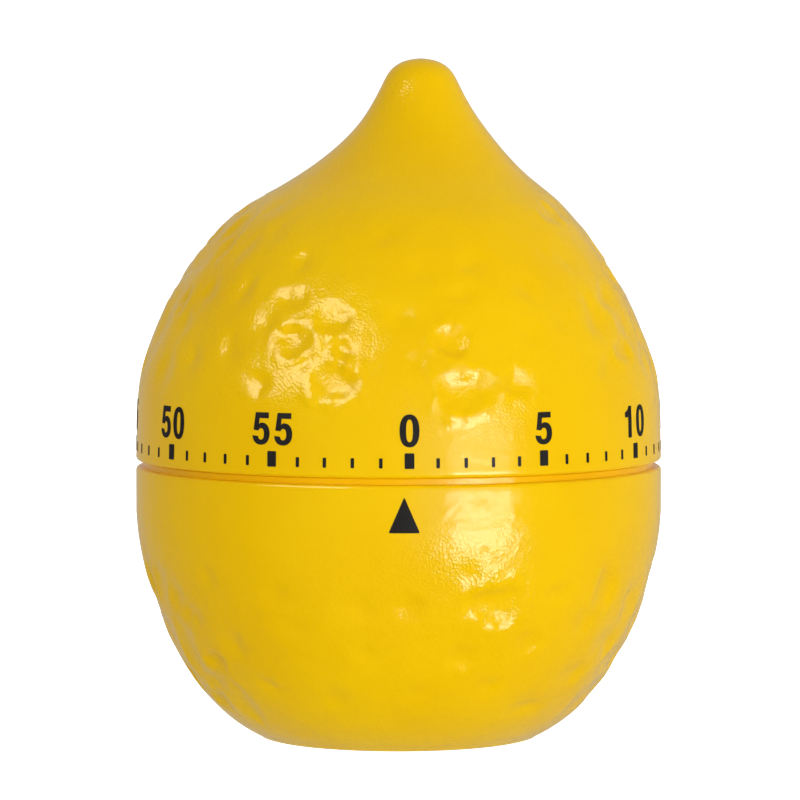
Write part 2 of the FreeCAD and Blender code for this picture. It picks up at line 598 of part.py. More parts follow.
def third_wheel():
    """Wheel pressed on the third arbor."""
    bottom, top = FRAME_Z + THIRD_LEVEL, FRAME_Z + THIRD_LEVEL + WHEEL_T
    shape = wheel(THIRD_TEETH, THIRD_MODULE, 0, THIRD_AT, bottom, WHEEL_T)
    shape = windows(shape, 2.0, 5.6, 4, 1.0, THIRD_AT, bottom, top)
    return shape.cut(rod(THIRD_ARBOR_R, bottom, top, THIRD_AT))


def escape_arbor():
    """Arbor whose pinion the third wheel drives."""
    phase = mesh_phase(THIRD_TEETH, 0, THIRD_AT, ESCAPE_AT)
    bottom = FRAME_Z + THIRD_LEVEL
    leaves = pinion(THIRD_MODULE, phase, ESCAPE_AT, bottom - PINION_OVER / 2,
                    bottom + WHEEL_T + PINION_OVER / 2)
    return arbor(ESCAPE_ARBOR_R, ESCAPE_PIVOT_R, ESCAPE_AT).fuse(leaves).removeSplitter()


def escape_wheel():
    """Escape wheel, set so that the two pallet pins fall between its teeth."""
    bottom, top = FRAME_Z + ESCAPE_LEVEL, FRAME_Z + ESCAPE_LEVEL + WHEEL_T
    shape = rod(ESCAPE_ROOT_R, bottom, top, ESCAPE_AT)
    for tooth in range(ESCAPE_TEETH):
        angle = staff_line() + 360 / ESCAPE_TEETH * tooth
        root = ESCAPE_AT + polar(ESCAPE_ROOT_R - 0.3, angle)
        tip = ESCAPE_AT + polar(ESCAPE_R, angle)
        shape = shape.fuse(bar(root, tip, ESCAPE_FOOT_W, ESCAPE_TIP_W, bottom, top))
    shape = windows(shape.removeSplitter(), 1.5, 2.9, 3, 0.9, ESCAPE_AT, bottom, top)
    return shape.cut(rod(ESCAPE_ARBOR_R, bottom, top, ESCAPE_AT))


# ---- Winding arbor, ratchet and click -------------------------------------------------
def arbor_end():
    """D-shaped end of the winding arbor."""
    bottom, top = LOWER_H + HUB_BOSS_BOTTOM, LOWER_H + ARBOR_TOP
    flat = bar(V(ARBOR_FLAT, 0, 0), V(2 * ARBOR_R, 0, 0), 4 * ARBOR_R, 4 * ARBOR_R, bottom, top)
    return rod(ARBOR_NECK_R, bottom, top).cut(flat)


def winding_arbor():
    """Arbor that the dial turns; the mainspring pulls it back."""
    shape = rod(ARBOR_PIVOT_R, FRAME_Z - PLATE_T + SHAKE, FRAME_Z + SHAKE)
    shape = shape.fuse(rod(ARBOR_R, FRAME_Z + SHAKE, TOP_PLATE_Z - SHAKE))
    shape = shape.fuse(rod(ARBOR_NECK_R, TOP_PLATE_Z - SHAKE, LOWER_H + HUB_BOSS_BOTTOM))
    return shape.fuse(arbor_end()).removeSplitter()


def arbor_clip():
    """Washer pressed on the arbor under the great wheel."""
    return ring(CLIP_R, ARBOR_R, GREAT_Z - SHAKE - CLIP_T, GREAT_Z - SHAKE)


def ratchet_wheel():
    """Saw-toothed wheel on the winding arbor; its upright faces drive the click."""
    pitch = 360 / RATCHET_TEETH
    points = []
    for tooth in range(RATCHET_TEETH):
        face = TRAIN_ANGLE + CLICK_ANGLE + pitch * tooth
        points += [polar(RATCHET_TIP_R, face), polar(RATCHET_ROOT_R, face)]
    shape = prism(points, RATCHET_Z, RATCHET_Z + RATCHET_T)
    return shape.cut(rod(ARBOR_R, RATCHET_Z, RATCHET_Z + RATCHET_T))


def beside_beak(x, y):
    """Point from the centre, x along the beak's radius and y across it."""
    return polar(math.hypot(x, y), TRAIN_ANGLE + CLICK_ANGLE + math.degrees(math.atan2(y, x)))


def click():
    """Pawl: a beak that hangs on the click pin and rests behind a ratchet tooth."""
    bottom, top = RATCHET_Z, RATCHET_Z + RATCHET_T
    pin_x, pin_y = CLICK_PIN
    back = RATCHET_TIP_R + CLICK_BACK
    points = [beside_beak(RATCHET_ROOT_R + CLICK_BITE, CLICK_GAP), beside_beak(back, CLICK_GAP),
              beside_beak(back, pin_y - CLICK_EYE_R), beside_beak(pin_x + CLICK_EYE_R / 2, pin_y),
              beside_beak(pin_x - CLICK_EYE_R / 2, pin_y), beside_beak(RATCHET_TIP_R, pin_y / 2),
              beside_beak(RATCHET_TIP_R + 0.35, 1.2)]
    shape = prism(points, bottom, top).fuse(rod(CLICK_EYE_R, bottom, top, CLICK_AT))
    return shape.cut(rod(CLICK_PIN_R + RUN, bottom, top, CLICK_AT)).removeSplitter()


def click_pin():
    """Shouldered pin riveted in the great wheel; the click swings on it."""
    head = RATCHET_Z + RATCHET_T + SHAKE
    return rod(CLICK_PIN_R, GREAT_Z, head, CLICK_AT).fuse(rod(CLICK_EYE_R - 0.3, head, head + 0.3, CLICK_AT))


def click_stud_place():
    """Where the click spring's foot is riveted."""
    return beside_beak(8.6, -5.2)


def click_spring():
    """Thin leaf that holds the click against the ratchet."""
    bottom, top = GREAT_Z + GREAT_T + 0.4, GREAT_Z + GREAT_T + 1.2
    foot = click_stud_place()
    rivet = rod(STUD_R, GREAT_Z, top, foot).fuse(rod(1.0, GREAT_Z + GREAT_T, top, foot))
    back = RATCHET_TIP_R + CLICK_BACK + SPRING_CLEAR
    leaf = bar(foot, beside_beak(back + CLICK_LEAF_T / 2, 1.0), CLICK_LEAF_T, CLICK_LEAF_T, bottom, top)
    return rivet.fuse(leaf).removeSplitter()


# ---- Stop, trip finger and hammer -----------------------------------------------------
def stop_arm():
    """Arm on the winding arbor, above the top plate; it meets the stop pin at both ends."""
    top = STOP_Z + STOP_ARM_T
    half_free = math.radians((360 - DIAL_TRAVEL) / 2)
    tip_w = 2 * (STOP_CIRCLE * math.sin(half_free) - STOP_PIN_R - STOP_GAP)
    tip = polar(STOP_CIRCLE + STOP_PIN_R, TRAIN_ANGLE + STOP_ANGLE)
    shape = bar(V(0, 0, 0), tip, 4 * tip_w, tip_w, STOP_Z, top).fuse(rod(STOP_HUB_R, STOP_Z, top))
    return shape.cut(rod(ARBOR_NECK_R, STOP_Z, top)).removeSplitter()


def trip_finger():
    """Finger on the winding arbor that lifts the hammer's tail over the last minutes."""
    top = FINGER_Z + FINGER_T
    tip = polar(FINGER_R, TRAIN_ANGLE + HAMMER_ANGLE + FINGER_LEAD)
    shape = bar(V(0, 0, 0), tip, 5 * FINGER_W, FINGER_W, FINGER_Z, top)
    return shape.fuse(rod(FINGER_HUB_R, FINGER_Z, top)).cut(rod(ARBOR_R, FINGER_Z, top)).removeSplitter()


def hammer_arbor():
    """Upright arbor that joins the tail, between the plates, to the arm under them."""
    shape = rod(HAMMER_ARBOR_R, HAMMER_ARM_Z - 0.4, TOP_PLATE_Z - SHAKE, HAMMER_AT)
    return shape.fuse(rod(HAMMER_PIVOT_R, TOP_PLATE_Z - SHAKE, TOP_PLATE_Z + PLATE_T - SHAKE, HAMMER_AT))


def hammer_tail():
    """Lever that points at the winding arbor, where the trip finger passes."""
    top = FINGER_Z + FINGER_T
    tip = polar(HAMMER_CIRCLE - TAIL_REACH, TRAIN_ANGLE + HAMMER_ANGLE)
    shape = bar(HAMMER_AT, tip, 1.4 * TAIL_EYE_R, TAIL_TIP_W, FINGER_Z, top)
    shape = shape.fuse(rod(TAIL_EYE_R, FINGER_Z, top, HAMMER_AT))
    return shape.cut(rod(HAMMER_ARBOR_R, FINGER_Z, top, HAMMER_AT)).removeSplitter()


def hammer_head_place():
    """Centre of the hammer's head, a rest gap off the bell."""
    circle = BELL_R + HAMMER_REST_GAP + HAMMER_HEAD_R
    turn = angle_between(HAMMER_CIRCLE, circle, HAMMER_ARM_L)
    return polar(circle, TRAIN_ANGLE + HAMMER_ANGLE + turn)


def hammer_arm():
    """Flat arm beside the bell."""
    bottom, top = HAMMER_ARM_Z, HAMMER_ARM_Z + HAMMER_ARM_T
    head = hammer_head_place()
    shape = bar(HAMMER_AT, head, HAMMER_ARM_W, HAMMER_ARM_W, bottom, top)
    shape = shape.fuse(rod(TAIL_EYE_R, bottom, top, HAMMER_AT))
    shape = shape.fuse(rod(HAMMER_HEAD_R * 0.9, bottom, top, head))
    shape = shape.cut(rod(HAMMER_ARBOR_R, bottom, top, HAMMER_AT))
    return shape.cut(rod(HAMMER_STUB_R, bottom, top, head)).removeSplitter()


def hammer_head():
    """Striker riveted through the arm's end."""
    seat = HAMMER_ARM_Z + HAMMER_ARM_T
    at = hammer_head_place()
    return rod(HAMMER_STUB_R, HAMMER_ARM_Z, seat, at).fuse(rod(HAMMER_HEAD_R, seat, seat + HAMMER_HEAD_H, at))


def hammer_spring():
    """Leaf from a pillar that pushes the tail back to rest."""
    top = FINGER_Z + FINGER_T
    pillar = polar(PILLAR_CIRCLE, TRAIN_ANGLE + HAMMER_PILLAR)
    side_w = 1.4 * TAIL_EYE_R / 2
    touch = polar(HAMMER_CIRCLE - 3.0, TRAIN_ANGLE + HAMMER_ANGLE)
    across = polar(side_w + SPRING_CLEAR + HAMMER_SPRING_T / 2, TRAIN_ANGLE + HAMMER_ANGLE + 90)
    leaf = bar(pillar, touch + across, HAMMER_SPRING_T, HAMMER_SPRING_T, FINGER_Z, top)
    eye = rod(PILLAR_R + HAMMER_SPRING_T, FINGER_Z, top, pillar)
    return leaf.fuse(eye).cut(rod(PILLAR_R, FINGER_Z, top, pillar)).removeSplitter()


# ---- Springs --------------------------------------------------------------------------
def spiral(first_r, pitch, turns, thick, bottom, height):
    """Flat spiral about the origin, outwards anticlockwise, both ends on the +X side."""
    def side(offset):
        """One face of the strip as half circles."""
        arcs = []
        for half in range(2 * turns):
            radius = first_r + pitch / 2 * half + offset
            middle = V(pitch / 2 if half % 2 else 0.0, 0, bottom)
            start = 180 if half % 2 else 0
            arcs.append(Part.Arc(*[middle + polar(radius, start + step) for step in (0, 90, 180)]))
        return [arc.toShape() for arc in arcs]

    inner, outer = side(-thick / 2), side(thick / 2)
    ends = []
    for x in (first_r, first_r + pitch * turns):
        ends.append(Part.makeLine(V(x - thick / 2, 0, bottom), V(x + thick / 2, 0, bottom)))
    wire = Part.Wire(Part.__sortEdges__(inner + outer + ends))
    return Part.Face(wire).extrude(V(0, 0, height))


def mainspring():
    """Spiral between the winding arbor and a pillar; setting the dial winds it tighter."""
    bottom = FRAME_Z + 0.5
    top = bottom + MAINSPRING_H
    first_r = ARBOR_R + SPRING_CLEAR + MAINSPRING_T / 2
    last_r = first_r + MAINSPRING_PITCH * MAINSPRING_TURNS
    pillar = polar(PILLAR_CIRCLE, TRAIN_ANGLE + SPRING_PILLAR)
    leaves_at = TRAIN_ANGLE + SPRING_PILLAR - math.degrees(math.acos(last_r / PILLAR_CIRCLE))
    coil = turned(spiral(first_r, MAINSPRING_PITCH, MAINSPRING_TURNS, MAINSPRING_T, bottom, MAINSPRING_H),
                  leaves_at)
    tail = bar(polar(last_r, leaves_at), pillar, MAINSPRING_T, MAINSPRING_T, bottom, top)
    eye = rod(PILLAR_R + MAINSPRING_T, bottom, top, pillar)
    return coil.fuse(tail).fuse(eye).cut(rod(PILLAR_R, bottom, top, pillar)).removeSplitter()


def hairspring_level():
    """Bottom of the hairspring, in the middle of its collet."""
    return FRAME_Z + COLLET_LEVEL + (COLLET_H - HAIRSPRING_H) / 2


def hairspring():
    """Fine spiral that swings the balance back to its middle."""
    first_r = COLLET_R + SPRING_CLEAR + HAIRSPRING_T / 2
    coil = spiral(first_r, HAIRSPRING_PITCH, HAIRSPRING_TURNS, HAIRSPRING_T, hairspring_level(), HAIRSPRING_H)
    coil = turned(coil, BALANCE_ANGLE + 180)
    coil.translate(BALANCE_AT)
    return coil


def stud_place():
    """The hairspring's outer end sits inside its stud, towards the movement's middle."""
    reach = COLLET_R + SPRING_CLEAR + HAIRSPRING_T / 2 + HAIRSPRING_PITCH * HAIRSPRING_TURNS
    return BALANCE_AT - polar(reach, BALANCE_ANGLE)


def hairspring_stud():
    """Pin that hangs from the top plate and holds the hairspring's outer end."""
    return rod(STUD_R, hairspring_level() - 0.1, TOP_PLATE_Z + PLATE_T, stud_place())


def hairspring_collet():
    """Split collet on the staff that holds the hairspring's inner end."""
    bottom = FRAME_Z + COLLET_LEVEL
    return ring(COLLET_R, STAFF_R, bottom, bottom + COLLET_H, BALANCE_AT)


# ---- Balance --------------------------------------------------------------------------
def staff_line():
    """Direction from the escape arbor to the balance staff, in degrees."""
    return math.degrees(math.atan2(BALANCE_AT.y - ESCAPE_AT.y, BALANCE_AT.x - ESCAPE_AT.x))


def balance_staff():
    """Upright staff of the balance."""
    return arbor(STAFF_R, STAFF_PIVOT_R, BALANCE_AT)


def balance_wheel():
    """Heavy brass ring on two spokes."""
    bottom, top = FRAME_Z + BALANCE_LEVEL, FRAME_Z + BALANCE_LEVEL + BALANCE_T
    shape = rod(BALANCE_R, bottom, top, BALANCE_AT)
    shape = windows(shape, 1.6, BALANCE_R - BALANCE_RIM, 2, BALANCE_SPOKE_W, BALANCE_AT, bottom, top)
    return shape.cut(rod(STAFF_R, bottom, top, BALANCE_AT))


def pallet_anchor():
    """Plate on the staff with two upright pins that let the escape wheel past tooth by tooth."""
    bottom = FRAME_Z + PALLET_LEVEL
    plate_top = bottom + PALLET_PLATE_T
    pin_top = FRAME_Z + ESCAPE_LEVEL + WHEEL_T + 0.4
    shape = rod(1.4, bottom, plate_top, BALANCE_AT)
    circle = ESCAPE_R + PALLET_PIN_R + PALLET_GAP
    for side in (-1, 1):
        angle = staff_line() + side * PALLET_SPAN / 2 * 360 / ESCAPE_TEETH
        pin = ESCAPE_AT + polar(circle, angle)
        shape = shape.fuse(bar(BALANCE_AT, pin, 1.6, 0.9, bottom, plate_top))
        shape = shape.fuse(rod(0.5, bottom, plate_top, pin)).fuse(rod(PALLET_PIN_R, plate_top, pin_top, pin))
    return shape.cut(rod(STAFF_R, bottom, plate_top, BALANCE_AT)).removeSplitter()


PIECES = (
    lower_shell, base_cover, base_cover_screws, movement_screws, bottom_plate, top_plate, plate_pillars,
    pillar_nuts, stop_pin, bell, bell_post, bell_screw, mainspring, hairspring, hairspring_stud,
    hammer_spring, upper_shell, dial_hub, winding_arbor, arbor_clip, ratchet_wheel, trip_finger, stop_arm,
    great_wheel, click_pin, click_spring, click, second_arbor, second_wheel, third_arbor, third_wheel,
    escape_arbor, escape_wheel, balance_staff, balance_wheel, pallet_anchor, hairspring_collet,
    hammer_arbor, hammer_tail, hammer_arm, hammer_head,
)

os.makedirs("parts", exist_ok=True)
for piece in PIECES:
    shape = piece()
    shape.exportStep("parts/" + piece.__name__ + ".step")
    print(piece.__name__, len(shape.Solids), "solid(s)", round(shape.Volume, 2), "mm3",
          "valid" if shape.isValid() else "NOT VALID")
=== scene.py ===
"""Kitchen timer in the shape of a lemon: its moulded skins, its printed scale, its finishes and its studio.

The clockwork stays as the CAD model has it and is only given its finishes here. The two halves of the lemon
are made again with the dimples of a peel, and the minute scale and the pointer are printed on them.
Lengths are millimetres until a mesh is made, angles are degrees from the front, positive to the right.
"""
import json
import logging
import math
import random
from dataclasses import dataclass, field
from enum import Enum

import bmesh
import bpy
import numpy as np
from mathutils import Matrix, Vector, noise
from mathutils.geometry import tessellate_polygon

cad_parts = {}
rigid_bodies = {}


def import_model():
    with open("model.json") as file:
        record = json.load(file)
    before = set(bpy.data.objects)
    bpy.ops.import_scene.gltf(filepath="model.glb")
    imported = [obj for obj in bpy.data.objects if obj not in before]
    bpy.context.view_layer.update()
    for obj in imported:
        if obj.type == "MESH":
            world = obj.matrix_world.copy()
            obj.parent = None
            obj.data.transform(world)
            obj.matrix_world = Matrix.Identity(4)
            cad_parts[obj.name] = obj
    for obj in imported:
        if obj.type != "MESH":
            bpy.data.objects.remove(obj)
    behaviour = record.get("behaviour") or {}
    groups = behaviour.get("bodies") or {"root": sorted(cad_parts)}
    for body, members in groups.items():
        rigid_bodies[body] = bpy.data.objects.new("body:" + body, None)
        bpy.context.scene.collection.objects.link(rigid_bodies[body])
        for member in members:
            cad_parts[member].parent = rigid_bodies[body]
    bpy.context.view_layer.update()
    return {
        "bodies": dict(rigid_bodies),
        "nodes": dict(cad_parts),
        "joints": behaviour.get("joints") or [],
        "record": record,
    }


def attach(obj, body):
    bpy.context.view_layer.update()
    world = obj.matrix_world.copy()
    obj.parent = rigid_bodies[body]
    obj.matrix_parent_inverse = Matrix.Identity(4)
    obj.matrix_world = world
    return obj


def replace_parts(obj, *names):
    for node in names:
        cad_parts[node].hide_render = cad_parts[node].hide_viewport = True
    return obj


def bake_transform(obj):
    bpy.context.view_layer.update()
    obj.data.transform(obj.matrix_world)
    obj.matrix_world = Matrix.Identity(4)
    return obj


MM = 0.001
LOG = logging.getLogger("lemon timer")
Point = tuple[float, float]
Tree = bpy.types.NodeTree
Socket = bpy.types.NodeSocket


# ---- Finishes ---------------------------------------------------------------------------------------
def linear(code: str) -> tuple[float, float, float, float]:
    """Turns an sRGB hex colour to linear.

    Args:
        code: colour as "#RRGGBB".

    Returns:
        Linear red, green, blue and an alpha of 1.
    """
    shares = [int(code[place:place + 2], 16) / 255 for place in (1, 3, 5)]
    return (*[s / 12.92 if s <= 0.04045 else ((s + 0.055) / 1.055) ** 2.4 for s in shares], 1.0)


def add_node(
    tree: Tree, kind: str, inputs: dict[str | int, object] | None = None, **settings: object
) -> bpy.types.Node:
    """Adds a node to a tree with its settings, its values and its links.

    Args:
        tree: material, world or geometry tree.
        kind: the node's type name.
        inputs: by socket name or number, a value or the output socket to link.
        settings: properties of the node.

    Returns:
        The new node.
    """
    node = tree.nodes.new(kind)
    for name, value in settings.items():
        setattr(node, name, value)
    for name, value in (inputs or {}).items():
        if isinstance(value, Socket):
            tree.links.new(value, node.inputs[name])
        else:
            node.inputs[name].default_value = value
    return node


@dataclass(frozen=True)
class Finish:
    """A material and the way its surface was made.

    The frozen fields go straight to the shader's sockets, and pattern() adds what varies over the surface.
    """

    name: str
    colour: str
    second: str
    roughness: float
    metallic: float = 0.0
    ior: float = 1.5
    specular: float = 0.5
    coat: float = 0.0
    coat_roughness: float = 0.16
    coat_ior: float = 1.3

    def material(self) -> bpy.types.Material:
        """Builds the material.

        Returns:
            A node material named for the finish.
        """
        made = bpy.data.materials.new(self.name)
        made.use_nodes = True
        made.diffuse_color = linear(self.colour)
        tree = made.node_tree
        tree.nodes.clear()
        shader = add_node(tree, "ShaderNodeBsdfPrincipled", {
            "Base Color": linear(self.colour), "Roughness": self.roughness, "Metallic": self.metallic,
            "IOR": self.ior, "Specular IOR Level": self.specular, "Coat Weight": self.coat,
            "Coat Roughness": self.coat_roughness, "Coat IOR": self.coat_ior,
        })
        add_node(tree, "ShaderNodeOutputMaterial", {"Surface": shader.outputs["BSDF"]})
        place = add_node(tree, "ShaderNodeTexCoord").outputs["Object"]
        self.pattern(tree, shader, place)
        return made

    def pattern(self, tree: Tree, shader: bpy.types.Node, place: Socket) -> None:
        """Adds the surface's own variation; a finish without one keeps this empty method."""

    def speckle(
        self, tree: Tree, place: Socket, size: float, detail: float = 2.0
    ) -> Socket:
        """Adds a noise pattern.

        Args:
            tree: the material's tree.
            place: coordinates.
            size: width of one blotch in millimetres.
            detail: octaves of the noise.

        Returns:
            The noise from 0 to 1.
        """
        return add_node(tree, "ShaderNodeTexNoise", {
            "Vector": place, "Scale": 1 / (size * MM), "Detail": detail, "Roughness": 0.55,
        }).outputs[0]

    def spread(
        self, tree: Tree, value: Socket, low: float, high: float
    ) -> Socket:
        """Maps the middle of a 0 to 1 pattern to a range.

        Args:
            tree: the material's tree.
            value: the pattern.
            low: result at 0.3.
            high: result at 0.7.

        Returns:
            The mapped value.
        """
        return add_node(tree, "ShaderNodeMapRange", {
            "Value": value, "From Min": 0.3, "From Max": 0.7, "To Min": low, "To Max": high,
        }).outputs[0]

    def two_tone(
        self, tree: Tree, shader: bpy.types.Node, value: Socket
    ) -> None:
        """Varies the base colour between the finish's two colours by a 0 to 1 pattern."""
        mixed = add_node(tree, "ShaderNodeMix", {
            0: self.spread(tree, value, 0, 1), 6: linear(self.colour), 7: linear(self.second),
        }, data_type="RGBA")
        tree.links.new(mixed.outputs[2], shader.inputs["Base Color"])

    def bump(
        self, tree: Tree, shader: bpy.types.Node, height: Socket,
        depth: float, strength: float | Socket = 1.0,
    ) -> None:
        """Adds bump to the shader and its coat, over any bump that they have already.

        Args:
            tree: the material's tree.
            shader: gets the bump.
            height: the pattern.
            depth: height of the pattern in millimetres.
            strength: share of the depth that shows.
        """
        node = add_node(tree, "ShaderNodeBump", {
            "Height": height, "Distance": depth * MM, "Strength": strength})
        for link in list(shader.inputs["Normal"].links):
            tree.links.new(link.from_socket, node.inputs["Normal"])
        for layer in ("Normal", "Coat Normal"):
            tree.links.new(node.outputs[0], shader.inputs[layer])


@dataclass(frozen=True)
class MouldedPeel(Finish):
    """Glossy ABS from a tool textured like lemon peel: the eye sees a deep even yellow whose gloss breaks up
    into fine leathery wrinkles."""

    wrinkle: float = 0.30       # width of one wrinkle cell
    wrinkle_depth: float = 0.034
    rounding: float = 0.6       # of the wrinkles' edges
    sway: float = 0.7           # how far the wrinkles bend, as a share of their width
    sway_size: float = 1.1
    swell: float = 1.7          # width of the soft swelling under the wrinkles
    swell_depth: float = 0.06
    seam: float = 32.5          # height of the middle of the band that stays smooth
    band: tuple[float, float] = (3.5, 9.0)      # half heights: smooth within one, wrinkled beyond the other
    band_wrinkles: float = 0.12     # share of the wrinkles left in the band
    colour_size: float = 14.0
    gloss_size: float = 5.0
    gloss_range: tuple[float, float] = (-0.03, 0.05)

    def pattern(self, tree: Tree, shader: bpy.types.Node, place: Socket) -> None:
        """Adds the wrinkles, the swelling, a slow change of colour and a small change of gloss."""
        shift = add_node(tree, "ShaderNodeTexNoise", {
            "Vector": place, "Scale": 1 / (self.sway_size * MM), "Detail": 1.0})
        bent = add_node(tree, "ShaderNodeVectorMath", {
            0: shift.outputs["Color"], 1: (self.sway * self.wrinkle * MM,) * 3, 2: place,
        }, operation="MULTIPLY_ADD")
        cells = add_node(tree, "ShaderNodeTexVoronoi", {
            "Vector": bent.outputs[0], "Scale": 1 / (self.wrinkle * MM), "Smoothness": self.rounding,
        }, feature="SMOOTH_F1")
        self.bump(tree, shader, self.speckle(tree, place, self.swell, 1.0), self.swell_depth)
        height = add_node(tree, "ShaderNodeSeparateXYZ", {0: place}).outputs[2]
        above = add_node(tree, "ShaderNodeMath", {0: height, 1: self.seam * MM}, operation="SUBTRACT")
        away = add_node(tree, "ShaderNodeMath", {0: above.outputs[0]}, operation="ABSOLUTE").outputs[0]
        near, far = (reach * MM for reach in self.band)
        wrinkled = add_node(tree, "ShaderNodeMapRange", {
            "Value": away, "From Min": near, "From Max": far, "To Min": self.band_wrinkles, "To Max": 1.0,
        }).outputs[0]
        self.bump(tree, shader, cells.outputs["Distance"], self.wrinkle_depth, wrinkled)
        self.two_tone(tree, shader, self.speckle(tree, place, self.colour_size))
        low, high = (self.roughness + change for change in self.gloss_range)
        gloss = self.spread(tree, self.speckle(tree, place, self.gloss_size), low, high)
        tree.links.new(gloss, shader.inputs["Roughness"])


@dataclass(frozen=True)
class Grained(Finish):
    """Two close colours in blotches under a fine grain."""

    colour_size: float = 8.0
    colour_detail: float = 2.0
    grain: float = 0.25
    grain_depth: float = 0.012

    def pattern(self, tree: Tree, shader: bpy.types.Node, place: Socket) -> None:
        """Adds the grain and the blotches of colour."""
        self.bump(tree, shader, self.speckle(tree, place, self.grain), self.grain_depth)
        self.two_tone(tree, shader, self.speckle(tree, place, self.colour_size, self.colour_detail))


@dataclass(frozen=True)
class SatinMoulding(Grained):
    """Injection moulding from a spark eroded tool: the eye sees a fine even satin."""


@dataclass(frozen=True)
class PadPrint(Grained):
    """Pad printed ink: the eye sees a flat black, a little thinner in places, with a low sheen."""

    colour_size: float = 0.5
    grain: float = 0.18
    grain_depth: float = 0.004


@dataclass(frozen=True)
class BluedSteel(Grained):
    """Hardened strip, heat blued: the eye sees dark blue that turns violet in blotches."""

    colour_size: float = 2.5
    colour_detail: float = 3.0
    grain: float = 0.1
    grain_depth: float = 0.003


@dataclass(frozen=True)
class RolledMetal(Finish):
    """Punched or turned from rolled stock: the eye sees fine parallel draw lines and uneven shine.

    The lines are 0.12 mm apart, coarser than real ones so that they show.
    """

    lines: float = 0.12
    line_depth: float = 0.006
    line_strength: float = 0.6
    drawn_out: float = 0.04         # scale of the pattern along the lines
    tarnish_size: float = 3.5
    gloss_range: tuple[float, float] = (-0.05, 0.1)

    def pattern(self, tree: Tree, shader: bpy.types.Node, place: Socket) -> None:
        """Adds draw lines along X and blotches of tarnish."""
        drawn = add_node(tree, "ShaderNodeMapping", {"Vector": place, "Scale": (self.drawn_out, 1.0, 1.0)})
        lines = self.speckle(tree, drawn.outputs[0], self.lines)
        self.bump(tree, shader, lines, self.line_depth, self.line_strength)
        self.two_tone(tree, shader, self.speckle(tree, place, self.tarnish_size))
        low, high = (self.roughness + change for change in self.gloss_range)
        tree.links.new(self.spread(tree, lines, low, high), shader.inputs["Roughness"])


class Stock(Enum):
    """Every finish of the timer, by the record's slot."""

    PEEL = ("lemon_plastic", MouldedPeel(
        "lemon ABS, moulded peel", "#FBCA00", "#F7C300", 0.34, ior=1.54, specular=0.0, coat=1.0))
    COVER = ("cover_plastic", SatinMoulding("lemon ABS, satin moulding", "#EFC000", "#E8B800", 0.42))
    HUB = ("hub_plastic", SatinMoulding("natural acetal, moulded", "#EDEBE2", "#E4E1D6", 0.38, ior=1.48))
    BRASS = ("brass", RolledMetal("rolled brass", "#D9B566", "#C79E4E", 0.27, metallic=1.0))
    PLATED = ("plated_steel", RolledMetal(
        "nickel plated steel", "#D6D3CC", "#C6C2B9", 0.18, metallic=1.0, lines=0.3))
    SPRING = ("spring_steel", BluedSteel("blued spring steel", "#3B4A78", "#5A4668", 0.25, metallic=1.0))
    STEEL = ("steel", RolledMetal(
        "turned bright steel", "#B9BABB", "#A4A5A8", 0.24, metallic=1.0, lines=0.08))
    INK = ("lemon_plastic", PadPrint("black pad print ink", "#1B1917", "#242120", 0.42, specular=0.1))

    @property
    def slot(self) -> str:
        """The record's material slot."""
        return self.value[0]

    def material(self) -> bpy.types.Material:
        """The finish's material, made once."""
        return bpy.data.materials.get(self.value[1].name) or self.value[1].material()


# ---- Shared shapes ----------------------------------------------------------------------------------
def smooth_line(knots: list[Point], spacing: float) -> list[Point]:
    """Passes a natural cubic spline through knots and divides it evenly.

    Args:
        knots: points of an outline.
        spacing: distance between the new points.

    Returns:
        The new points, from the first knot to the last.
    """
    points = np.array(knots, float)
    steps = np.hypot(*np.diff(points, axis=0).T)
    where = np.concatenate([[0], np.cumsum(steps)])
    count = len(points)
    system, right = np.zeros((count, count)), np.zeros((count, 2))
    system[0, 0] = system[-1, -1] = 1
    for row in range(1, count - 1):
        before, after = steps[row - 1], steps[row]
        system[row, row - 1:row + 2] = before, 2 * (before + after), after
        right[row] = 6 * ((points[row + 1] - points[row]) / after - (points[row] - points[row - 1]) / before)
    bend = np.linalg.solve(system, right)
    at = np.linspace(0, where[-1], max(2, round(where[-1] / spacing) + 1))
    left = np.clip(np.searchsorted(where, at, side="right") - 1, 0, count - 2)
    width = steps[left][:, None]
    a = (where[left + 1] - at)[:, None] / width
    b = 1 - a
    line = a * points[left] + b * points[left + 1]
    line += ((a ** 3 - a) * bend[left] + (b ** 3 - b) * bend[left + 1]) * width ** 2 / 6
    return [tuple(point) for point in line]


def smooth_step(value: np.ndarray | float, low: float, high: float) -> np.ndarray | float:
    """Rises smoothly from 0 at low to 1 at high; the two may be in either order."""
    share = np.clip((value - low) / (high - low), 0, 1)
    return share * share * (3 - 2 * share)


def corner(middle: Point, radius: float, start: float, end: float, steps: int = 5) -> list[Point]:
    """Points of an arc in an outline.

    Args:
        middle: centre (radius, height).
        radius: of the arc.
        start: first direction in degrees from outwards, positive upwards.
        end: last direction.
        steps: number of pieces.

    Returns:
        The points, both ends included.
    """
    turns = [math.radians(start + (end - start) * step / steps) for step in range(steps + 1)]
    return [(middle[0] + radius * math.cos(turn), middle[1] + radius * math.sin(turn)) for turn in turns]


def finished_mesh(name: str, built: bmesh.types.BMesh) -> bpy.types.Mesh:
    """Turns a mesh under construction into a named mesh and frees it."""
    mesh = bpy.data.meshes.new(name)
    built.to_mesh(mesh)
    built.free()
    return mesh


def added_object(name: str, data: bpy.types.ID) -> bpy.types.Object:
    """Puts a mesh, light or camera in the scene."""
    made = bpy.data.objects.new(name, data)
    bpy.context.scene.collection.objects.link(made)
    return made


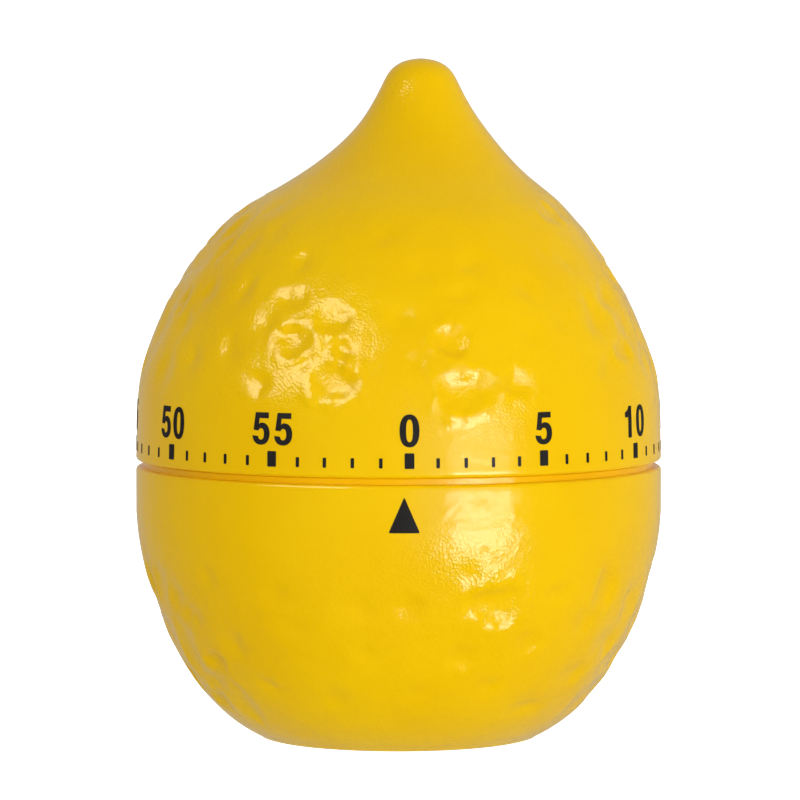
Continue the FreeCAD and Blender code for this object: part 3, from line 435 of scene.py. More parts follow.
def made_piece(
    name: str, mesh: bpy.types.Mesh, stock: Stock, body: str, sharp: float = 35
) -> bpy.types.Object:
    """Turns a finished mesh into a piece that rides on a body.

    Args:
        name: the piece's name.
        mesh: its mesh in metres, in place.
        stock: its finish.
        body: CAD body that it moves with.
        sharp: edges bent more than this many degrees stay sharp.

    Returns:
        The new object.
    """
    mesh.materials.clear()
    mesh.materials.append(stock.material())
    mesh.shade_smooth()
    mesh.set_sharp_from_angle(angle=math.radians(sharp))
    piece = added_object(name, mesh)
    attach(piece, body)
    LOG.info("%s: %d faces, rides on %s", name, len(mesh.polygons), body)
    return piece


def inset(knots: list[Point], wall: float) -> list[Point]:
    """Moves the points of an outline inwards by a wall, each square to the line through its neighbours."""
    inner = []
    for index, (radius, height) in enumerate(knots):
        before, after = knots[max(index - 1, 0)], knots[min(index + 1, len(knots) - 1)]
        run, rise = after[0] - before[0], after[1] - before[1]
        length = math.hypot(run, rise)
        inner.append((radius - wall * rise / length, height + wall * run / length))
    return inner


# ---- Peel -------------------------------------------------------------------------------------------
@dataclass(frozen=True)
class Dimple:
    """One pit of the peel."""

    angle: float
    height: float
    wide: float             # half width
    tall: float             # half height
    depth: float
    lip: float = 0.0        # raised edge
    flat: float = 2.0       # higher is a flatter floor with a steeper side


@dataclass
class Peel:
    """Dimples and soft swelling of one half."""

    seed: int
    placed: tuple[Dimple, ...]
    scattered: int
    low: float                              # heights between which dimples are scattered
    high: float
    smooth_low: tuple[float, float]         # the swelling fades from the second height to the first
    smooth_high: tuple[float, float]
    clear_front: float = 52.0               # scattered dimples stay this far from the front
    swelling: float = 0.13
    swelling_size: float = 8.0
    ripple: float = 0.05
    ripple_size: float = 2.4
    wander: float = 0.8                     # how far a dimple's edge wanders
    fray: float = 0.4                       # the same at a finer size
    wander_size: float = 3.1
    fray_size: float = 1.1
    deepen: float = 1.35
    tries: int = 14                         # places tried for each scattered dimple
    up_share: float = 2.2                   # degrees that count as much as a millimetre of height
    sizes: tuple[float, float] = (1.1, 2.3)
    stretches: tuple[float, float] = (0.8, 1.35)
    depths: tuple[float, float] = (0.16, 0.42)
    lips: tuple[float, ...] = (0.0, 0.0, 0.12, 0.25)
    flats: tuple[float, float] = (1.8, 3.2)
    steep: float = 0.9                      # how fast a pit fades from its middle
    far: float = 2.6                        # a dimple changes nothing beyond this many half widths
    lip_at: float = 1.4                     # place and width of the lip, in half widths
    lip_width: float = 0.42

    def dimples(self) -> list[Dimple]:
        """The placed dimples and the scattered ones, which keep apart from each other."""
        draw = random.Random(self.seed)
        all_of_them = list(self.placed)
        for _ in range(self.scattered):
            best, best_gap = None, -1.0
            for _ in range(self.tries):
                angle, height = draw.uniform(-180, 180), draw.uniform(self.low, self.high)
                if abs(angle) < self.clear_front:
                    continue
                gap = min((
                    math.hypot(
                        (angle - other.angle + 180) % 360 - 180, (height - other.height) * self.up_share)
                    for other in all_of_them
                ), default=math.inf)
                if gap > best_gap:
                    best, best_gap = (angle, height), gap
            size, stretch = draw.uniform(*self.sizes), draw.uniform(*self.stretches)
            depth, lip = draw.uniform(*self.depths), draw.choice(self.lips)
            if best:
                flat = draw.uniform(*self.flats)
                all_of_them.append(Dimple(*best, size / stretch, size * stretch, depth, lip, flat))
        return all_of_them

    def heights(self, spots: np.ndarray, outline: "Outline") -> np.ndarray:
        """How far each point of the skin stands out from the smooth outline.

        Args:
            spots: points in millimetres, one a row.
            outline: gives the places of the dimples.

        Returns:
            One height a point, negative inwards.
        """
        noise.seed_set(self.seed)       # without it noise_vector differs from run to run
        wander, swell = np.zeros_like(spots), np.zeros(len(spots))
        for index, spot in enumerate(spots):
            here = Vector(spot)
            wander[index] = (
                self.wander * noise.noise_vector(here / self.wander_size)
                + self.fray * noise.noise_vector(here / self.fray_size)
            )
            swell[index] = (
                self.swelling * noise.noise(here / self.swelling_size)
                + self.ripple * noise.noise(here / self.ripple_size)
            )
        swell *= smooth_step(spots[:, 2], *self.smooth_low) * smooth_step(spots[:, 2], *self.smooth_high)
        moved = spots + wander
        for dimple in self.dimples():
            centre = np.array(outline.spot(dimple.angle, dimple.height))
            turn = math.radians(dimple.angle)
            away = moved - centre
            near = np.einsum("ij,ij->i", away, away) < (self.far * max(dimple.wide, dimple.tall)) ** 2
            across = away[near] @ np.array((math.cos(turn), math.sin(turn), 0.0))
            rest = np.sqrt(np.maximum(np.einsum("ij,ij->i", away[near], away[near]) - across ** 2, 0))
            reach = np.hypot(across / dimple.wide, rest / dimple.tall)
            depth = dimple.depth * self.deepen
            pit = -depth * np.exp(-self.steep * reach ** dimple.flat)
            waves = 0.35 * np.sin(3.0 * across + dimple.angle)
            uneven = np.clip(0.6 + 0.5 * wander[near, 2] + waves, 0.1, 1.3)
            edge = depth * dimple.lip * uneven * np.exp(-((reach - self.lip_at) / self.lip_width) ** 2)
            swell[near] += pit + edge
        return swell


@dataclass
class Outline:
    """A turned outline, which may lean towards +X with its height."""

    rows: list[Point]
    lean: float = 0.0
    lean_low: float = 0.0
    lean_high: float = 1.0

    def radius(self, height: float) -> float:
        """Radius of the outline at a height."""
        heights = [row[1] for row in self.rows]
        return float(np.interp(height, heights, [row[0] for row in self.rows]))

    def middle(self, height: float) -> float:
        """How far the middle has moved towards +X at a height."""
        return float(self.lean * smooth_step(height, self.lean_low, self.lean_high)) if self.lean else 0.0

    def spot(self, angle: float, height: float, proud: float = 0.0) -> tuple[float, float, float]:
        """A point on the outline.

        Args:
            angle: degrees from the front, positive to the right.
            height: above the table.
            proud: distance outside the surface.

        Returns:
            The point in millimetres.
        """
        radius, turn = self.radius(height) + proud, math.radians(angle)
        return radius * math.sin(turn) + self.middle(height), -radius * math.cos(turn), height


@dataclass
class Turning:
    """Turns a closed section, with a peel on the part of it that shows.

    A section that starts or ends on the axis closes in a pole there; any other joins its own start.
    """

    outline: Outline
    peel: Peel
    columns: int = 384

    def mesh(self, name: str, section: list[Point], skin: slice) -> bpy.types.Mesh:
        """Makes the mesh.

        Args:
            name: of the mesh.
            section: (radius, height) from inside to outside, so that the faces look outwards.
            skin: the part of the section that has the peel.

        Returns:
            A closed mesh in metres.
        """
        poles = section[0][0] < 1e-6
        rows = section[1:-1] if poles else section
        turns = np.radians(np.arange(self.columns) * 360 / self.columns)
        radii, levels = np.array([row[0] for row in rows]), np.array([row[1] for row in rows])
        middles = np.array([self.outline.middle(level) for level in levels])
        grid = np.stack([
            radii[:, None] * np.sin(turns) + middles[:, None],
            -radii[:, None] * np.cos(turns),
            np.repeat(levels[:, None], self.columns, 1),
        ], axis=2)
        shown = range(*skin.indices(len(section)))
        picked = np.array([index - poles for index in shown if 0 <= index - poles < len(rows)])
        patch = grid[picked]
        along = np.roll(patch, -1, 1) - np.roll(patch, 1, 1)
        upward = np.gradient(patch, axis=0)
        normal = np.cross(along, upward)
        normal /= np.maximum(np.linalg.norm(normal, axis=2, keepdims=True), 1e-9)
        lift = self.peel.heights(patch.reshape(-1, 3), self.outline).reshape(len(picked), self.columns)
        grid[picked] = patch + normal * lift[:, :, None]

        points = grid.reshape(-1, 3)
        wide = self.columns
        ring = np.arange(wide)
        quads = []
        for row in range(len(rows) - (1 if poles else 0)):
            here, above = row * wide, (row + 1) % len(rows) * wide
            quads.append(np.stack(
                [here + ring, here + (ring + 1) % wide, above + (ring + 1) % wide, above + ring], 1))
        faces = [tuple(face) for face in np.concatenate(quads).tolist()]
        if poles:
            first, last = len(points), len(points) + 1
            ends = [(self.outline.middle(section[i][1]), 0.0, section[i][1]) for i in (0, -1)]
            points = np.concatenate([points, ends])
            top = (len(rows) - 1) * wide
            faces += [(first, int((i + 1) % wide), int(i)) for i in ring]
            faces += [(last, int(top + i), int(top + (i + 1) % wide)) for i in ring]
        mesh = bpy.data.meshes.new(name)
        mesh.from_pydata((points * MM).tolist(), [], faces)
        mesh.validate()
        return mesh


# ---- Upper half -------------------------------------------------------------------------------------
@dataclass
class DialSkin:
    """The rotating upper half of the lemon: a hollow moulding with a skirt round the hub disc."""

    radius: float = 31.0
    bottom: float = 32.9
    height: float = 47.2
    rim_round: float = 0.4
    wall: float = 2.2
    skirt: float = 29.2             # radius of the skirt's bore
    seat: float = 41.5              # top of the bore
    lean: float = 2.6
    lean_shares: tuple[float, float] = (0.5, 0.85)      # of the height, between which it leans over
    spacing: float = 0.45
    hollow_spacing: float = 2.0
    shares: tuple[Point, ...] = (
        (1.000, 0.000), (0.997, 0.083), (0.984, 0.203), (0.929, 0.322), (0.839, 0.443), (0.732, 0.545),
        (0.612, 0.627), (0.448, 0.703), (0.305, 0.784), (0.206, 0.864), (0.146, 0.935), (0.112, 0.972),
        (0.058, 0.994), (0.000, 1.000),
    )
    hollow: tuple[int, int] = (2, 9)        # outline rows that the hollow follows
    peel: Peel = field(default_factory=lambda: Peel(
        seed=11, scattered=105, low=44.0, high=63.0, smooth_low=(41.0, 45.0), smooth_high=(67.0, 62.0),
        placed=tuple(Dimple(*row) for row in (
            (-63, 59.0, 1.0, 2.6, 0.34), (-59, 53.5, 1.5, 2.0, 0.32), (-63, 49.5, 1.6, 1.8, 0.30),
            (-66, 44.5, 1.6, 2.2, 0.30), (-44, 54.0, 1.2, 1.8, 0.26), (-42, 47.0, 1.5, 1.7, 0.30),
            (-55, 46.0, 1.3, 1.5, 0.26), (-28, 57.0, 1.4, 1.2, 0.28), (-17, 51.0, 1.7, 1.5, 0.36, 0.3),
            (-14, 47.5, 1.5, 1.3, 0.34, 0.3), (-26, 48.5, 2.0, 1.6, 0.38, 0.45, 3.0),
            (-29, 53.0, 1.5, 1.3, 0.30, 0.3), (-15, 43.8, 2.4, 2.1, 0.40, 0.5, 4.0),
            (-33, 43.5, 1.5, 1.3, 0.32, 0.2), (-34, 50.0, 1.2, 1.4, 0.26), (-21, 45.5, 1.2, 1.1, 0.26),
            (5, 56.0, 1.5, 1.3, 0.26), (0, 51.0, 1.6, 1.3, 0.34), (15, 53.5, 1.5, 1.2, 0.34),
            (11, 48.3, 1.9, 1.5, 0.46, 0.45, 3.2), (13, 42.8, 2.9, 1.9, 0.48, 0.45, 3.6),
            (25, 43.6, 1.7, 1.5, 0.38, 0.35, 3.0), (19, 57.0, 1.4, 1.1, 0.30), (33, 54.0, 1.4, 1.3, 0.28),
            (3, 46.0, 1.4, 1.1, 0.30), (31, 48.5, 1.2, 1.2, 0.24), (42, 50.5, 1.3, 1.4, 0.14),
            (-6, 60.0, 1.3, 1.0, 0.18), (45, 58.0, 1.3, 1.4, 0.16), (-43, 60.5, 1.2, 1.5, 0.18),
        )),
    ))

    @property
    def knots(self) -> list[Point]:
        """The outline's shares as radii and heights."""
        return [(share * self.radius, self.bottom + rise * self.height) for share, rise in self.shares]

    @property
    def outline(self) -> Outline:
        """The smooth outside."""
        low, high = (self.bottom + share * self.height for share in self.lean_shares)
        return Outline(smooth_line(self.knots, self.spacing), self.lean, low, high)

    def section(self) -> tuple[list[Point], slice]:
        """The closed section from the hollow's crown round to the tip, and the part that shows."""
        inner = inset(self.knots, self.wall)[self.hollow[0]:self.hollow[1] + 1]
        inner[0] = (inner[0][0], self.seat)
        inside = smooth_line(inner, self.hollow_spacing)[::-1]
        bore = [(self.skirt, self.seat), (self.skirt, self.bottom)]
        rim = corner((self.radius - self.rim_round, self.bottom + self.rim_round), self.rim_round, -90, 0)
        outside = [row for row in self.outline.rows if row[1] > self.bottom + self.rim_round + 0.1]
        before = [(0.0, inside[0][1])] + inside + bore + rim
        outside[-1] = (0.0, outside[-1][1])
        return before + outside, slice(len(before), len(before) + len(outside))

    def make(self) -> bpy.types.Object:
        """Builds the upper half and puts it in the place of its CAD node."""
        section, shown = self.section()
        mesh = Turning(self.outline, self.peel).mesh("dial_skin", section, shown)
        piece = made_piece("dial_skin", mesh, Stock.PEEL, "dial")
        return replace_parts(piece, "upper_shell")


# ---- Lower half -------------------------------------------------------------------------------------
@dataclass
class BodySkin:
    """The standing lower half of the lemon: a cup with a foot, a neck in the seam and a lip in the dial."""

    radius: float = 31.0
    height: float = 32.1
    foot: float = 15.8
    belly_drop: float = 5.3
    belly_powers: tuple[float, float] = (1.54, 3.38)
    rim_round: float = 0.4
    wall: float = 1.8
    floor: float = 2.4
    neck: float = 30.1
    neck_top: float = 32.85
    lip: float = 28.7
    lip_wall: float = 1.4
    lip_top: float = 35.5
    ledge: float = 1.1
    recess: tuple[float, float] = (13.5, 1.4)       # for the base cover: radius and depth
    sound_hole: float = 10.0
    foot_round: float = 0.5
    spacing: float = 0.45
    peel: Peel = field(default_factory=lambda: Peel(
        seed=29, scattered=74, low=5.0, high=19.5, smooth_low=(1.5, 4.5), smooth_high=(23.0, 17.0),
        placed=tuple(Dimple(*row) for row in (
            (21, 18.3, 2.7, 2.3, 0.46, 0.5, 3.4), (2, 18.2, 1.6, 1.4, 0.34, 0.2),
            (37, 19.0, 1.5, 1.3, 0.30, 0.3), (14, 12.0, 1.8, 1.4, 0.32, 0.3), (-10, 18.0, 1.7, 1.4, 0.22),
            (-30, 19.0, 1.7, 1.3, 0.24), (-26, 15.5, 1.5, 1.2, 0.24), (-63, 18.2, 1.5, 1.7, 0.34),
            (-58, 16.0, 1.3, 1.3, 0.32), (-61, 7.5, 1.8, 1.4, 0.34), (61, 12.3, 1.8, 2.0, 0.36),
            (67, 17.0, 1.5, 1.9, 0.34), (17, 24.3, 0.7, 0.6, 0.12, 0.4), (-19, 7.0, 1.6, 1.2, 0.22),
            (39, 5.5, 1.8, 1.2, 0.28), (-44, 13.0, 1.6, 1.4, 0.26), (-8, 12.5, 1.6, 1.2, 0.20),
            (31, 13.5, 1.3, 1.1, 0.26, 0.2), (47, 15.5, 1.5, 1.6, 0.26), (4, 8.0, 1.5, 1.1, 0.18),
            (-38, 8.0, 1.5, 1.2, 0.24), (-48, 20.5, 1.2, 1.3, 0.18), (24, 8.5, 1.5, 1.1, 0.22),
            (50, 9.0, 1.6, 1.3, 0.28), (14, 22.0, 0.9, 0.7, 0.12),
        )),
    ))

    def rows(self) -> list[Point]:
        """The smooth outside as the CAD part makes it, from the foot to the straight band."""
        power_n, power_m = self.belly_powers
        straight = self.height - self.belly_drop
        cut = (1 - (self.foot / self.radius) ** power_m) ** (1 / power_n)
        rows = []
        for step in range(17):
            share = cut * math.cos(math.pi / 2 * step / 16)
            rows.append((self.radius * (1 - share ** power_n) ** (1 / power_m), straight * (1 - share / cut)))
        return rows

    @property
    def outline(self) -> Outline:
        """The smooth outside up to the top edge."""
        rows = smooth_line(self.rows(), self.spacing)
        straight = rows[-1][1]
        steps = math.ceil((self.height - self.rim_round - straight) / self.spacing)
        top = [(self.radius, straight + (self.height - self.rim_round - straight) * (i + 1) / steps)
               for i in range(steps)]
        return Outline(rows + top)

    def section(self) -> tuple[list[Point], slice]:
        """The closed section from the sound hole round to the floor's inside, and the part that shows."""
        outside = self.outline.rows
        edge = outside[2]
        under = [(self.sound_hole, self.floor), (self.sound_hole, self.recess[1]), self.recess,
                 (self.recess[0], 0.15), (self.recess[0] + 0.15, 0.0), (self.foot - 0.1, 0.0),
                 (self.foot + 0.15, 0.06), ((self.foot + 0.25 + edge[0]) / 2, edge[1] * 0.45)]
        rim = corner((self.radius - self.rim_round, self.height - self.rim_round), self.rim_round, 0, 90)
        bore = self.lip - self.lip_wall
        seam = [(self.neck, self.height), (self.neck, self.neck_top - 0.1), (self.neck - 0.1, self.neck_top),
                (self.lip, self.neck_top), (self.lip, self.lip_top - 0.2), (self.lip - 0.2, self.lip_top),
                (bore + 0.2, self.lip_top), (bore, self.lip_top - 0.2), (bore, self.height - self.ledge)]
        inner = [row for row in inset(self.rows(), self.wall) if row[1] > self.floor + 0.3]
        floor_edge = (inner[0][0] - 0.6, self.floor)
        inside = [(self.radius - self.wall, self.height - self.ledge)] + inner[::-1] + [floor_edge]
        section = under + outside[2:] + rim[1:] + seam + inside
        return section, slice(len(under), len(under) + len(outside) - 2)

    def make(self) -> bpy.types.Object:
        """Builds the lower half and puts it in the place of its CAD node."""
        section, shown = self.section()
        mesh = Turning(self.outline, self.peel).mesh("body_skin", section, shown)
        piece = made_piece("body_skin", mesh, Stock.PEEL, "case")
        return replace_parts(piece, "lower_shell")


# ---- Print ------------------------------------------------------------------------------------------
FIGURE_MIDDLE = 31      # of a figure's width, in hundredths of its height
CURVE_STEPS = 6


class Figure(Enum):
    """Outlines of the figures, 100 high, as moves (M), lines (L) and curves (C), each ring closed by Z."""

    ZERO = ("0", "M0,50 C0,17 11,-1 31,-1 C51,-1 62,17 62,50 C62,83 51,101 31,101 C11,101 0,83 0,50 Z "
                 "M20.5,50 C20.5,76 24,85 31,85 C38,85 41.5,76 41.5,50 C41.5,24 38,15 31,15 "
                 "C24,15 20.5,24 20.5,50 Z")
    ONE = ("1", "M24,0 L45,0 L45,100 L29,100 C25,90 16,83 4,81 L4,65 L24,65 Z")
    TWO = ("2", "M0,0 L61,0 L61,18 L28,18 C31,25 37,29 43,34 C54,42 61,53 61,69 C61,88 50,101 31,101 "
                "C12,101 1,89 1,65 L20,64 C20,78 24,84 31,84 C38,84 42,79 42,69 "
                "C42,59 35,53 24,45 C9,34 0,23 0,0 Z")
    THREE = ("3", "M0,29 C0,10 12,-1 31,-1 C50,-1 62,10 62,28 C62,41 57,49 48,53 C55,57 59,64 59,74 "
                  "C59,91 48,101 30,101 C12,101 2,91 2,70 L21,69 C21,80 24,85 30,85 C36,85 40,81 40,73 "
                  "C40,64 36,60 26,60 L26,44 C38,44 42,40 42,29 C42,20 38,15 31,15 C24,15 20,20 20,30 Z")
    FOUR = ("4", "M34,0 L54,0 L54,20 L64,20 L64,37 L54,37 L54,100 L35,100 L-1,39 L-1,20 L34,20 Z "
                 "M34,37 L17,37 L34,68 Z")
    FIVE = ("5", "M0,28 C1,10 13,-1 30,-1 C50,-1 62,13 62,34 C62,54 52,68 35,68 C30,68 26,66 23,63 L25,82 "
                 "L58,82 L58,100 L11,100 L4,45 L21,43 C23,48 27,51 31,51 C38,51 42,45 42,33 "
                 "C42,21 38,15 30,15 "
                 "C24,15 21,19 20,26 Z")

    @classmethod
    def of(cls, digit: str) -> "Figure":
        """The figure of a digit."""
        return next(figure for figure in cls if figure.value[0] == digit)

    def rings(self) -> list[list[Point]]:
        """The outline's closed rings, curves divided into short lines."""
        rings: list[list[Point]] = []
        ring: list[Point] = []
        path = self.value[1]
        for mark in "MLCZ":
            path = path.replace(mark, "|" + mark)
        for word in path.split("|"):
            points = [tuple(float(n) for n in pair.split(",")) for pair in word[1:].split()]
            if word.startswith("M"):
                ring = [points[0]]
            elif word.startswith("L"):
                ring.append(points[0])
            elif word.startswith("C"):
                start = ring[-1]
                for step in range(1, CURVE_STEPS + 1):
                    t = step / CURVE_STEPS
                    weights = ((1 - t) ** 3, 3 * t * (1 - t) ** 2, 3 * t * t * (1 - t), t ** 3)
                    four = (start, *points)
                    ring.append(tuple(sum(w * p[axis] for w, p in zip(weights, four)) for axis in (0, 1)))
            elif word.startswith("Z"):
                if math.dist(ring[0], ring[-1]) < 0.01:
                    ring.pop()
                rings.append(ring)
        return rings


@dataclass
class Print:
    """Ink laid on an outline: flat rings are cut into short pieces and bent round the surface."""

    outline: Outline
    proud: float = 0.04
    sunk: float = 0.08          # the film's back lies inside the plastic, so that no gap shows
    longest: float = 0.5

    def shape(self, into: bmesh.types.BMesh, rings: list[list[Point]], angle: float, height: float) -> None:
        """Adds one closed shape of ink.

        Args:
            into: mesh that collects the print.
            rings: outer ring and holes, in millimetres from the place, across and up.
            angle: of the place.
            height: of the place.
        """
        flat = bmesh.new()
        points = [flat.verts.new((*point, 0.0)) for ring in rings for point in ring]
        triangles = tessellate_polygon([[Vector((*point, 0.0)) for point in ring] for ring in rings])
        for triangle in triangles:
            face = flat.faces.new([points[index] for index in triangle])
            face.normal_update()
            if face.normal.z < 0:
                face.normal_flip()
        for axis in (0, 1):
            reach = [vert.co[axis] for vert in flat.verts]
            for step in range(1, math.ceil((max(reach) - min(reach)) / self.longest)):
                cut = Vector((0.0, 0.0, 0.0))
                cut[axis] = min(reach) + step * self.longest + 0.013
                across = Vector((1.0 - axis, float(axis), 0.0))
                everything = flat.verts[:] + flat.edges[:] + flat.faces[:]
                bmesh.ops.bisect_plane(flat, geom=everything, plane_co=cut, plane_no=across, dist=1e-4)
        flat.verts.index_update()
        border = [edge for edge in flat.edges if edge.is_boundary]
        layers = []
        for lift in (self.proud, -self.sunk):
            layers.append([into.verts.new([value * MM for value in self.spot(vert.co, angle, height, lift)])
                           for vert in flat.verts])
        for face in flat.faces:
            corners = [vert.index for vert in face.verts]
            into.faces.new([layers[0][index] for index in corners])
            into.faces.new([layers[1][index] for index in reversed(corners)])
        for edge in border:
            loop = edge.link_loops[0]
            start, end = loop.vert.index, loop.link_loop_next.vert.index
            into.faces.new([layers[0][start], layers[1][start], layers[1][end], layers[0][end]])
        flat.free()

    def spot(self, flat: Vector, angle: float, height: float, lift: float) -> tuple[float, float, float]:
        """Where a point of the flat shape lands on the surface."""
        level = height + flat.y
        turn = math.degrees(flat.x / self.outline.radius(height))
        return self.outline.spot(angle + turn, level, lift)


@dataclass
class MinuteScale:
    """Sixty ticks and twelve numbers round the foot of the dial."""

    dial: DialSkin
    zero: float = 1.1               # the zero mark stands this many degrees right of the front
    minutes: int = 60
    each: int = 5                   # minutes from number to number
    major: tuple[float, float, float] = (1.10, 1.77, 1.10)      # width, height, foot above the rim
    minor: tuple[float, float, float] = (0.40, 1.15, 1.15)
    tick_round: float = 0.12
    figure_height: float = 3.66
    figure_foot: float = 3.57       # above the rim
    figure_pitch: float = 0.785      # from figure to figure, as a share of the height
    film: float = 0.04
    bent_between: tuple[float, float] = (1.0, 3.0)      # heights above the rim that give the ticks' slope

    @property
    def settings(self) -> dict[str, int | float]:
        """The node tree's inputs by name, lengths in metres."""
        given = {"Minutes": self.minutes, "Each": self.each, "Zero": self.zero,
                 "Rounding": self.tick_round * MM, "Film": self.film * MM}
        for size, (width, height, foot) in (("Major", self.major), ("Minor", self.minor)):
            given |= {f"{size} width": width * MM, f"{size} height": height * MM,
                      f"{size} foot": (self.dial.bottom + foot) * MM}
        for place, above in zip(("Lower", "Upper"), self.bent_between):
            level = self.dial.bottom + above
            given |= {f"{place} level": level * MM, f"{place} radius": self.dial.outline.radius(level) * MM}
        return given

    def tick_tree(self) -> bpy.types.GeometryNodeTree:
        """The node tree that sets a tick at every minute and bends it to the dial.

        Returns:
            A tree with named inputs for its sizes.
        """
        tree = bpy.data.node_groups.new("minute ticks", "GeometryNodeTree")
        for name, value in self.settings.items():
            kind = "NodeSocketInt" if isinstance(value, int) else "NodeSocketFloat"
            tree.interface.new_socket(name=name, in_out="INPUT", socket_type=kind).default_value = value
        tree.interface.new_socket(name="Geometry", in_out="OUTPUT", socket_type="NodeSocketGeometry")
        given = add_node(tree, "NodeGroupInput").outputs

        def reckon(operation: str, *values: object) -> Socket:
            """Adds one step of arithmetic."""
            node = add_node(tree, "ShaderNodeMath", dict(enumerate(values)), operation=operation)
            return node.outputs[0]

        def tick(size: str) -> Socket:
            """Adds the standing tick of a size, at the front, with its back inside the plastic."""
            plate = add_node(tree, "GeometryNodeCurvePrimitiveQuadrilateral", {
                "Width": given[f"{size} width"], "Height": given[f"{size} height"]})
            rounded = add_node(tree, "GeometryNodeFilletCurve", {
                "Curve": plate.outputs[0], "Radius": given["Rounding"]})
            count = next(socket for socket in rounded.inputs if socket.name == "Count")
            count.default_value = 3
            if "Mode" in rounded.inputs:
                rounded.inputs["Mode"].default_value = "Poly"
            else:
                rounded.mode = "POLY"
            filled = add_node(tree, "GeometryNodeFillCurve", {0: rounded.outputs[0]})
            thick = reckon("MULTIPLY", given["Film"], 3.0)
            raised = add_node(tree, "GeometryNodeExtrudeMesh", {
                "Mesh": filled.outputs[0], "Offset Scale": thick, "Individual": False})
            back = add_node(tree, "GeometryNodeFlipFaces", {0: filled.outputs[0]})
            both = add_node(tree, "GeometryNodeJoinGeometry")
            tree.links.new(raised.outputs[0], both.inputs[0])
            tree.links.new(back.outputs[0], both.inputs[0])
            closed = add_node(tree, "GeometryNodeMergeByDistance", {0: both.outputs[0], "Distance": 1e-6})
            half = reckon("MULTIPLY", given[f"{size} height"], 0.5)
            level = reckon("ADD", given[f"{size} foot"], half)
            out = reckon("SUBTRACT", reckon("MULTIPLY", given["Film"], 2.0), given["Lower radius"])
            place = add_node(tree, "ShaderNodeCombineXYZ", {1: out, 2: level})
            standing = add_node(tree, "GeometryNodeTransform", {
                0: closed.outputs[0], "Translation": place.outputs[0], "Rotation": (math.pi / 2, 0, 0)})
            return standing.outputs[0]

        points = add_node(tree, "GeometryNodeMeshLine", {"Count": given["Minutes"], "Offset": (0, 0, 0)})
        index = add_node(tree, "GeometryNodeInputIndex").outputs[0]
        step = reckon("DIVIDE", 2 * math.pi, given["Minutes"])
        turn = reckon("ADD", reckon("MULTIPLY", index, step), reckon("RADIANS", given["Zero"]))
        facing = add_node(tree, "ShaderNodeCombineXYZ", {2: turn}).outputs[0]
        numbered = reckon("COMPARE", reckon("MODULO", index, given["Each"]), 0.0, 0.1)
        plain = reckon("SUBTRACT", 1.0, numbered)
        ring = add_node(tree, "GeometryNodeJoinGeometry")
        for size, chosen in (("Major", numbered), ("Minor", plain)):
            placed = add_node(tree, "GeometryNodeInstanceOnPoints", {
                "Points": points.outputs[0], "Selection": chosen, "Instance": tick(size), "Rotation": facing})
            tree.links.new(placed.outputs[0], ring.inputs[0])
        real = add_node(tree, "GeometryNodeRealizeInstances", {0: ring.outputs[0]})
        position = add_node(tree, "GeometryNodeInputPosition").outputs[0]
        here = add_node(tree, "ShaderNodeSeparateXYZ", {0: position})
        squares = (reckon("MULTIPLY", here.outputs[axis], here.outputs[axis]) for axis in (0, 1))
        distance = reckon("SQRT", reckon("ADD", *squares))
        rise = reckon("DIVIDE", reckon("SUBTRACT", here.outputs[2], given["Lower level"]),
                      reckon("SUBTRACT", given["Upper level"], given["Lower level"]))
        change = reckon("MULTIPLY", rise, reckon("SUBTRACT", given["Upper radius"], given["Lower radius"]))
        ratio = reckon("DIVIDE", change, distance)
        shift = add_node(tree, "ShaderNodeCombineXYZ", {
            0: reckon("MULTIPLY", here.outputs[0], ratio), 1: reckon("MULTIPLY", here.outputs[1], ratio)})
        bent = add_node(tree, "GeometryNodeSetPosition", {0: real.outputs[0], "Offset": shift.outputs[0]})
        inked = add_node(tree, "GeometryNodeSetMaterial", {
            0: bent.outputs[0], "Material": Stock.INK.material()})
        add_node(tree, "NodeGroupOutput", {0: inked.outputs[0]})
        return tree

    def ticks(self) -> bpy.types.Object:
        """Builds the ticks with geometry nodes and turns them into a plain mesh."""
        tree = self.tick_tree()
        seed = added_object("minute_ticks_seed", bpy.data.meshes.new("minute_ticks_seed"))
        modifier = seed.modifiers.new("ticks", "NODES")
        modifier.node_group = tree
        for item in tree.interface.items_tree:
            if item.in_out == "INPUT":
                modifier[item.identifier] = self.settings[item.name]
        depsgraph = bpy.context.evaluated_depsgraph_get()
        mesh = bpy.data.meshes.new_from_object(seed.evaluated_get(depsgraph))
        mesh.name = "minute_ticks"
        bpy.data.objects.remove(seed)
        return made_piece("minute_ticks", mesh, Stock.INK, "dial")

    def numbers(self) -> bpy.types.Object:
        """Builds the twelve numbers, each centred over its tick."""
        ink = Print(self.dial.outline, proud=self.film)
        built = bmesh.new()
        unit = self.figure_height / 100
        for minute in range(0, self.minutes, self.each):
            word = str(minute)
            angle = self.zero + minute * 360 / self.minutes
            for place, digit in enumerate(word):
                shift = (place - (len(word) - 1) / 2) * self.figure_pitch * self.figure_height
                rings = [[((x - FIGURE_MIDDLE) * unit + shift, y * unit) for x, y in ring]
                         for ring in Figure.of(digit).rings()]
                ink.shape(built, rings, angle, self.dial.bottom + self.figure_foot)
        return made_piece("minute_numbers", finished_mesh("minute_numbers", built), Stock.INK, "dial")


